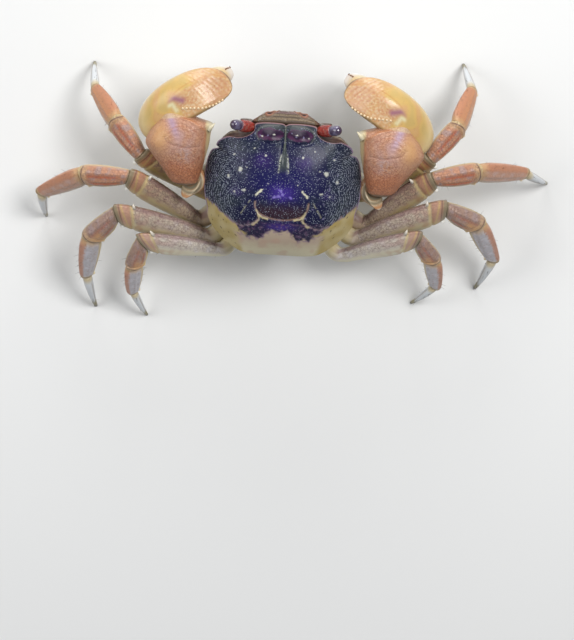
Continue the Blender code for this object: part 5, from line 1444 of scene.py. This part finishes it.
def wall_points(x, drop, out):
    """Points on the sloping front wall, at a distance down it and proud of it."""
    top = np.array((MARGIN[2][1], MARGIN[2][2]))
    foot = np.array((FRONT_RIM, SHELL_FLOOR))
    along = (foot - top) / np.linalg.norm(foot - top)
    y = top[0] + along[0] * drop + along[1] * out
    z = top[1] + along[1] * drop - along[0] * out
    return np.stack([x, y, z], axis=-1)


def maxilliped():
    rows = 170
    mesh, down, turn = ball(columns=88, rows=rows)
    body, cap = capped(down, rows)
    drop, inner, outer = curve(numbered(MAXILLIPED), body * (len(MAXILLIPED) - 1)).T
    across = np.cos(turn) * cap
    proud = np.sin(turn)
    x = (inner + outer) / 2 + across * (outer - inner) / 2
    joint = bell(drop, MAXILLIPED_JOINT, 0.2)
    ridge = np.maximum(0.45 * stroke(x, drop, DIAGONAL, 0.18), 0.3 * stroke(x, drop, OUTER_EDGE, 0.2))
    ridge = np.maximum(ridge, 0.35 * stroke(x, drop, ISCHIUM_EDGE, 0.2))
    ridge = np.maximum(ridge, 0.4 * stroke(x, drop, SECOND_RIDGE, 0.16))
    dish = 0.25 * blot(x, drop, (3.9, 7.2), (1.0, 1.3))
    out = -0.05 + np.maximum(proud, 0.0) ** 0.6 * cap ** 0.5 * (1.0 - 0.45 * joint + ridge - dish)
    return mesh, wall_points(x, drop, out), x, drop, ridge


def maxilliped_tint(x, drop, ridge):
    """Lilac with a rust loop above, blue below, and cream ridges."""
    spots = np.stack([x, drop, drop], axis=1)
    wave = cloud(spots, 0.9)
    slant = x - 0.35 * (drop - 7.3)
    loop = np.hypot((slant - 3.6) / 1.15, (drop - 7.3) / 1.75)
    broken = step(wave, -0.5, -0.1)
    inner_loop = bell(loop, 0.5, 0.12) * step(x + 0.4 * drop, 7.0, 6.2)
    return coated(even((0.26, 0.245, 0.27), x), (
        ((0.42, 0.42, 0.50), 0.85 * step(loop, 1.0, 0.6)),
        ((0.36, 0.165, 0.085), 0.8 * bell(loop, 1.0, 0.13) * broken),
        ((0.34, 0.17, 0.11), 0.6 * inner_loop),
        ((0.27, 0.33, 0.60), 0.8 * blot(x, drop, (4.9, 9.5), (0.7, 1.1))),
        ((0.40, 0.45, 0.50), step(drop, 10.7, 11.2)),
        ((0.68, 0.66, 0.62), step(ridge, 0.14, 0.3)),
        ((0.16, 0.10, 0.07), 0.8 * bell(drop, MAXILLIPED_JOINT, 0.16)),
    ))


mouth_finish = claw_finish("mouth_cream")
for side_name, side_hand in SIDES:
    mesh, points, x, drop, ridge = maxilliped()
    dress(mesh, points, maxilliped_tint(x, drop, ridge), points)
    palps = [(wall_points(x, drop, 0.15), radius) for x, drop, radius in PALPS]
    add_shapes(mesh, (0.40, 0.42, 0.50), palps)
    stand_for("maxilliped_" + side_name, mesh, mouth_finish, side_hand)

# Eyes
# A short red stalk that lies in its socket, and at its end the swollen clear cornea.
EYE_BASE = Vector((7.35, -14.0, 29.6))
EYE_TIP = Vector((12.6, -14.9, 33.9))
STALK_SHARE = 0.6
EYE_RADII = ((0.0, 0.95), (0.2, 1.3), (0.45, 1.4), (0.6, 1.28), (0.66, 1.22), (0.8, 1.2), (0.93, 0.85),
             (1.0, 0.3))
EYE_RINGS = 9


def eye_part(low, high):
    axis = EYE_TIP - EYE_BASE
    shares = [low + (high - low) * i / (EYE_RINGS - 1) for i in range(EYE_RINGS)]
    centres = [EYE_BASE + axis * share for share in shares]
    radii = curve(EYE_RADII, np.array(shares))[:, 0]
    return tube(centres, [(2 * r, 2 * r) for r in radii], [0] * EYE_RINGS, None, None,
                rows=90, columns=64, power=2.0, rounding=0.5)


stalk_finish = limb_finish("stalk_red", 0.22, 0.8, 0.5, (0.06, 0.012, 0.02))
cornea_finish = Finish("cornea_violet")
facets = cornea_finish.cells(cornea_finish.place(), 0.00010)
depth = cornea_finish.rise(cornea_finish.lumps(cornea_finish.place(), 0.0011, 1.0), 0.40, 0.62)
deep_violet = cornea_finish.mix((0.030, 0.012, 0.040), (0.10, 0.085, 0.15), depth)
cornea_finish.set(Base_Color=cornea_finish.mix(deep_violet, (0.17, 0.15, 0.22), facets * 0.2),
                  Roughness=0.10, Coat_Weight=1.0, Coat_Roughness=0.03)
cornea_finish.bump(facets, 0.008)
for side_name, side_hand in SIDES:
    mesh, points, share, across, rise, straight = eye_part(0.0, STALK_SHARE)
    colour = coated(even((0.28, 0.032, 0.022), share), (
        ((0.36, 0.12, 0.085), 0.6 * step(cloud(straight, 0.6), 0.1, 0.4)),
        ((0.25, 0.21, 0.27), step(rise, -0.25, -0.55)),
        ((0.46, 0.42, 0.44), 0.7 * bell(rise, -0.42, 0.1)),
        ((0.26, 0.18, 0.22), step(share, 0.94, 0.985)),
    ))
    keep(mesh, "tint", colour)
    keep(mesh, "straight", straight)
    name = "eyestalk_" + side_name
    place(name + "_shell", mesh, points, stalk_finish, [name], side_hand)
    mesh, points, share, across, rise, straight = eye_part(STALK_SHARE, 1.0)
    name = "eye_" + side_name
    place(name + "_cornea", mesh, points, cornea_finish, [name], side_hand)

# Antennae
# Two small grey-brown feelers beside the eyes, each of two stout joints and a thin whip.
ANTENNA_BASE = Vector((7.9, -14.75, 28.1))
ANTENNA_PATH = (
    # place from the base, and radius there
    (0.0, 0.0, 0.0, 0.75), (0.5, -0.35, 0.2, 0.8), (1.0, -0.6, 0.3, 0.5), (1.8, -0.75, 0.5, 0.33),
    (2.6, -0.8, 0.8, 0.26),
)
antenna_finish = limb_finish("antenna_grey", 0.4, 0.4, 0.1)
for side_name, side_hand in SIDES:
    mesh, points, share, across, rise, straight = tube(
        [ANTENNA_BASE + Vector(row[:3]) for row in ANTENNA_PATH],
        [(2 * row[3], 2 * row[3]) for row in ANTENNA_PATH], [0] * len(ANTENNA_PATH), None, None,
        rows=90, columns=40, power=2.0, rounding=0.25)
    colour = coated(even((0.17, 0.145, 0.125), share), (
        ((0.075, 0.040, 0.028), step(share, 0.3, 0.45)),
        ((0.10, 0.06, 0.04), step(np.sin(straight[:, 0] * 9), 0.2, 0.9) * 0.6),
    ))
    keep(mesh, "tint", colour)
    keep(mesh, "straight", straight)
    name = "antenna_" + side_name
    place(name + "_shell", mesh, points, antenna_finish, [name], side_hand)

# Sternum and pleon
# The breastplate with the first joints of all ten limbs, and the folded tail in its trough: white chitin,
# fused here from one block and ten short tubes by a fine remesh, with its seams and folds pressed in.
STERNUM_SEAMS = (-4.3, 0.8, 5.6, 9.9)
PLEON_SEAMS = (-2.3, 0.4, 3.0, 5.6, 8.0, 10.3)
TELSON = ((0.0, -5.9, 10.1), 1.75)
CLAW_FOLD = (9.2, 12.6)      # middle of the folds round the base of a claw, x and z
CLAW_FOLD_SIZE = (3.9, 3.5)
VOXEL = 0.0002


def sternum_look(spots):
    """Cream plates with sunk seams, a blue-grey bib under the mouth and curved folds round the claws."""
    x, y, z = spots.T
    ax = np.abs(x)
    wave = cloud(spots, 1.6)
    fine = cloud(spots, 0.5, 5.0)
    bib = step(z + 0.3 * ax, 11.4, 13.4) * step(y, -5.2, -7.0) * step(ax, 5.4, 4.0)
    front = step(y, -2.6, -4.4)
    spread = np.hypot((ax - CLAW_FOLD[0]) / CLAW_FOLD_SIZE[0], (z - CLAW_FOLD[1]) / CLAW_FOLD_SIZE[1])
    fold = bell(spread, 1.0, 0.1) * front
    gap = (bell(spread, 1.24, 0.08) + bell(spread, 0.76, 0.09)) * front
    seam = np.zeros(len(x))
    for middle in STERNUM_SEAMS:
        seam = np.maximum(seam, bell(y - middle - 0.1 * (ax - 5.0), 0.0, 0.13))
    seam = seam * step(z, 11.5, 10.5) * step(ax, 2.6, 3.2)
    colour = coated(even((0.56, 0.53, 0.44), x), (
        ((0.47, 0.38, 0.26), 0.5 * step(wave, 0.0, 0.5)),
        ((0.25, 0.28, 0.29), 0.9 * bib),
        ((0.15, 0.18, 0.33), 0.7 * bib * step(fine, 0.3, 0.5)),
        ((0.14, 0.135, 0.145), 0.85 * gap),
        ((0.70, 0.66, 0.52), 0.9 * fold),
        ((0.22, 0.16, 0.10), 0.75 * seam),
    ))
    return colour, 0.22 * fold - 0.18 * gap - 0.14 * seam


def pleon_look(spots):
    """A bluish telson in front, then cream joints parted by sunk seams."""
    x, y = spots.T[:2]
    wave = cloud(spots, 1.3)
    seam = np.zeros(len(x))
    for middle in PLEON_SEAMS:
        seam = np.maximum(seam, bell(y - middle + 0.05 * x ** 2, 0.0, 0.13))
    colour = coated(even((0.57, 0.54, 0.45), x), (
        ((0.46, 0.40, 0.30), 0.5 * step(wave, 0.0, 0.5)),
        ((0.38, 0.44, 0.50), step(y, -1.9, -2.7)),
        ((0.22, 0.16, 0.10), 0.7 * seam),
    ))
    return colour, -0.13 * seam


underside = grained_finish("underside_cream", 0.0005, Roughness=0.42, Coat_Weight=0.15, Coat_Roughness=0.3)
for node, rounds, look in (("sternum", 3, sternum_look), ("pleon", 2, pleon_look)):
    piece = bpy.data.objects.new(node + "_shell", frame["nodes"][node].data.copy())
    bpy.context.scene.collection.objects.link(piece)
    bm = bmesh.new()
    bm.from_mesh(piece.data)
    bmesh.ops.remove_doubles(bm, verts=bm.verts, dist=0.000001)
    bm.to_mesh(piece.data)
    bm.free()
    remesh = piece.modifiers.new("even", "REMESH")
    remesh.mode = "VOXEL"
    remesh.voxel_size = VOXEL
    graph = bpy.context.evaluated_depsgraph_get()
    mesh = bpy.data.meshes.new_from_object(piece.evaluated_get(graph))
    piece.modifiers.clear()
    bm = bmesh.new()
    bm.from_mesh(mesh)
    for _ in range(rounds):
        bmesh.ops.smooth_vert(bm, verts=bm.verts, factor=0.5,
                              use_axis_x=True, use_axis_y=True, use_axis_z=True)
    bm.to_mesh(mesh)
    bm.free()
    normals = np.array([tuple(vert.normal) for vert in mesh.vertices])
    spots = (points_of(mesh) - SHIFT) * 1000
    colour, relief = look(spots)
    spots = spots + normals * relief[:, None]
    keep(mesh, "tint", colour)
    if node == "pleon":
        keep(mesh, "straight", spots)
        mesh.vertices.foreach_set("co", spots.ravel())
        add_shapes(mesh, (0.40, 0.46, 0.52), (TELSON,), subdivisions=3)
        spots = points_of(mesh)
    mesh.vertices.foreach_set("co", (spots * 0.001 + SHIFT).ravel())
    mesh.materials.clear()
    mesh.materials.append(underside.material)
    mesh.shade_smooth()
    piece.data = mesh
    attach(piece, "root")
    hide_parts(node)

# Bristles
# Stiff hairs that grow from the skin: dark ones along the edges of the legs, grey ones that point into the
# mouth, and a pale tuft at the middle of the front. Each is a thin cone set in the shell.
MOUTH_HAIRS = 320
TUFT_HAIRS = 46
TUFT_HEIGHT = 29.4
TUFT_OUT = 2.55          # how far the tuft's roots stand before the wall behind the face
MOUTH_HAIR_RADIUS = 0.05
TUFT_HAIR_RADIUS = 0.045
CHART_SCALE = 0.0015


def bristles(name, hairs, colour):
    """One piece of many hairs, each (root, tip, root radius, place on the unwrapped skin)."""
    bm = bmesh.new()
    chart = bm.loops.layers.uv.new("OFBake")
    for root, tip, radius, (u, v) in hairs:
        root, tip = Vector(root), Vector(tip)
        verts = bmesh.ops.create_cone(bm, cap_ends=True, segments=4, radius1=radius, radius2=radius * 0.2,
                                      depth=(tip - root).length)["verts"]
        faces = {face for vert in verts for face in vert.link_faces}
        for face in faces:
            for loop in face.loops:
                spot = loop.vert.co
                loop[chart].uv = (u + CHART_SCALE * spot.x / radius, v + CHART_SCALE * spot.y / radius)
        turn = (tip - root).to_track_quat("Z", "Y").to_matrix().to_4x4()
        bmesh.ops.transform(bm, matrix=Matrix.Translation((root + tip) / 2) @ turn, verts=verts)
    mesh = bpy.data.meshes.new(name)
    bm.to_mesh(mesh)
    bm.free()
    finish = Finish(name)
    shade = finish.lumps(finish.place(), 0.004)
    finish.set(Base_Color=finish.mix(colour, tuple(value * 0.5 for value in colour), shade), Roughness=0.5)
    place(name, mesh, points_of(mesh), finish, ())


hairs = []
for _ in range(MOUTH_HAIRS):
    x = rng.uniform(-3.3, 3.3)
    drop = rng.uniform(8.2, 15.8)
    root = wall_points(x, drop, -0.05)
    aim = wall_points(x * 0.35, drop + (13.6 - drop) * 0.45, 0.5)
    length = rng.uniform(0.8, 1.7)
    tip = root + (aim - root) / max(np.linalg.norm(aim - root), 0.4) * length
    hairs.append((root, tip, MOUTH_HAIR_RADIUS, (0.5 + x / 8, drop / 20)))
bristles("mouth_bristles", hairs, (0.26, 0.25, 0.21))

hairs = []
for _ in range(TUFT_HAIRS):
    x = rng.normal(0.1, 0.75)
    root = np.array((x, wall_front(TUFT_HEIGHT) - TUFT_OUT, TUFT_HEIGHT + rng.uniform(-0.25, 0.25)))
    tip = root + np.array((x * 0.25, -rng.uniform(0.5, 1.1), rng.uniform(0.0, 0.5)))
    hairs.append((root, tip, TUFT_HAIR_RADIUS, (0.5 + x / 8, 0.9)))
bristles("front_tuft", hairs, (0.62, 0.60, 0.56))

bristles("leg_bristles", leg_hairs, (0.055, 0.035, 0.025))

# Floor, light and camera
# A plain pale floor under soft lamps, seen from above and a little in front of the animal.
floor_mesh = bpy.data.meshes.new("floor")
bm = bmesh.new()
bmesh.ops.create_grid(bm, x_segments=1, y_segments=1, size=1.5)
bm.to_mesh(floor_mesh)
bm.free()
floor = bpy.data.objects.new("floor", floor_mesh)
bpy.context.scene.collection.objects.link(floor)
floor_finish = Finish("pale_floor")
floor_finish.set(Base_Color=(0.72, 0.72, 0.71), Roughness=0.8)
floor_mesh.materials.append(floor_finish.material)

world = bpy.data.worlds.new("studio")
world.use_nodes = True
world.node_tree.nodes["Background"].inputs["Color"].default_value = (0.92, 0.95, 1.0, 1.0)
world.node_tree.nodes["Background"].inputs["Strength"].default_value = 0.30
bpy.context.scene.world = world
bpy.context.scene.view_settings.view_transform = "Standard"
for lamp_name, spot, size, power in (("key_lamp", (-0.22, -0.20, 0.50), 0.22, 2.5),
                                     ("fill_lamp", (0.35, -0.10, 0.35), 0.30, 1.0),
                                     ("front_lamp", (0.05, -0.45, 0.12), 0.25, 1.1)):
    lamp = bpy.data.lights.new(lamp_name, "AREA")
    lamp.size = size
    lamp.energy = power
    light = bpy.data.objects.new(lamp_name, lamp)
    light.location = spot
    light.rotation_euler = (Vector((0, 0, 0.02)) - Vector(spot)).to_track_quat("-Z", "Y").to_euler()
    bpy.context.scene.collection.objects.link(light)

CAMERA_SPOT = Vector((0.0, -0.07312, 0.62253))
CAMERA_AHEAD = Vector((-0.0047579, 0.17158802, -0.9851573))
CAMERA_UP = Vector((0.05923088, -0.98339041, -0.17156633))
camera = bpy.data.cameras.new("camera")
camera.sensor_fit = "VERTICAL"
camera.sensor_height = 36.0
camera.lens = 146.23
view = bpy.data.objects.new("camera", camera)
view.matrix_world = Matrix((CAMERA_AHEAD.cross(CAMERA_UP), CAMERA_UP, -CAMERA_AHEAD)).transposed().to_4x4()
view.location = CAMERA_SPOT + Vector(SHIFT)
bpy.context.scene.collection.objects.link(view)
bpy.context.scene.camera = view
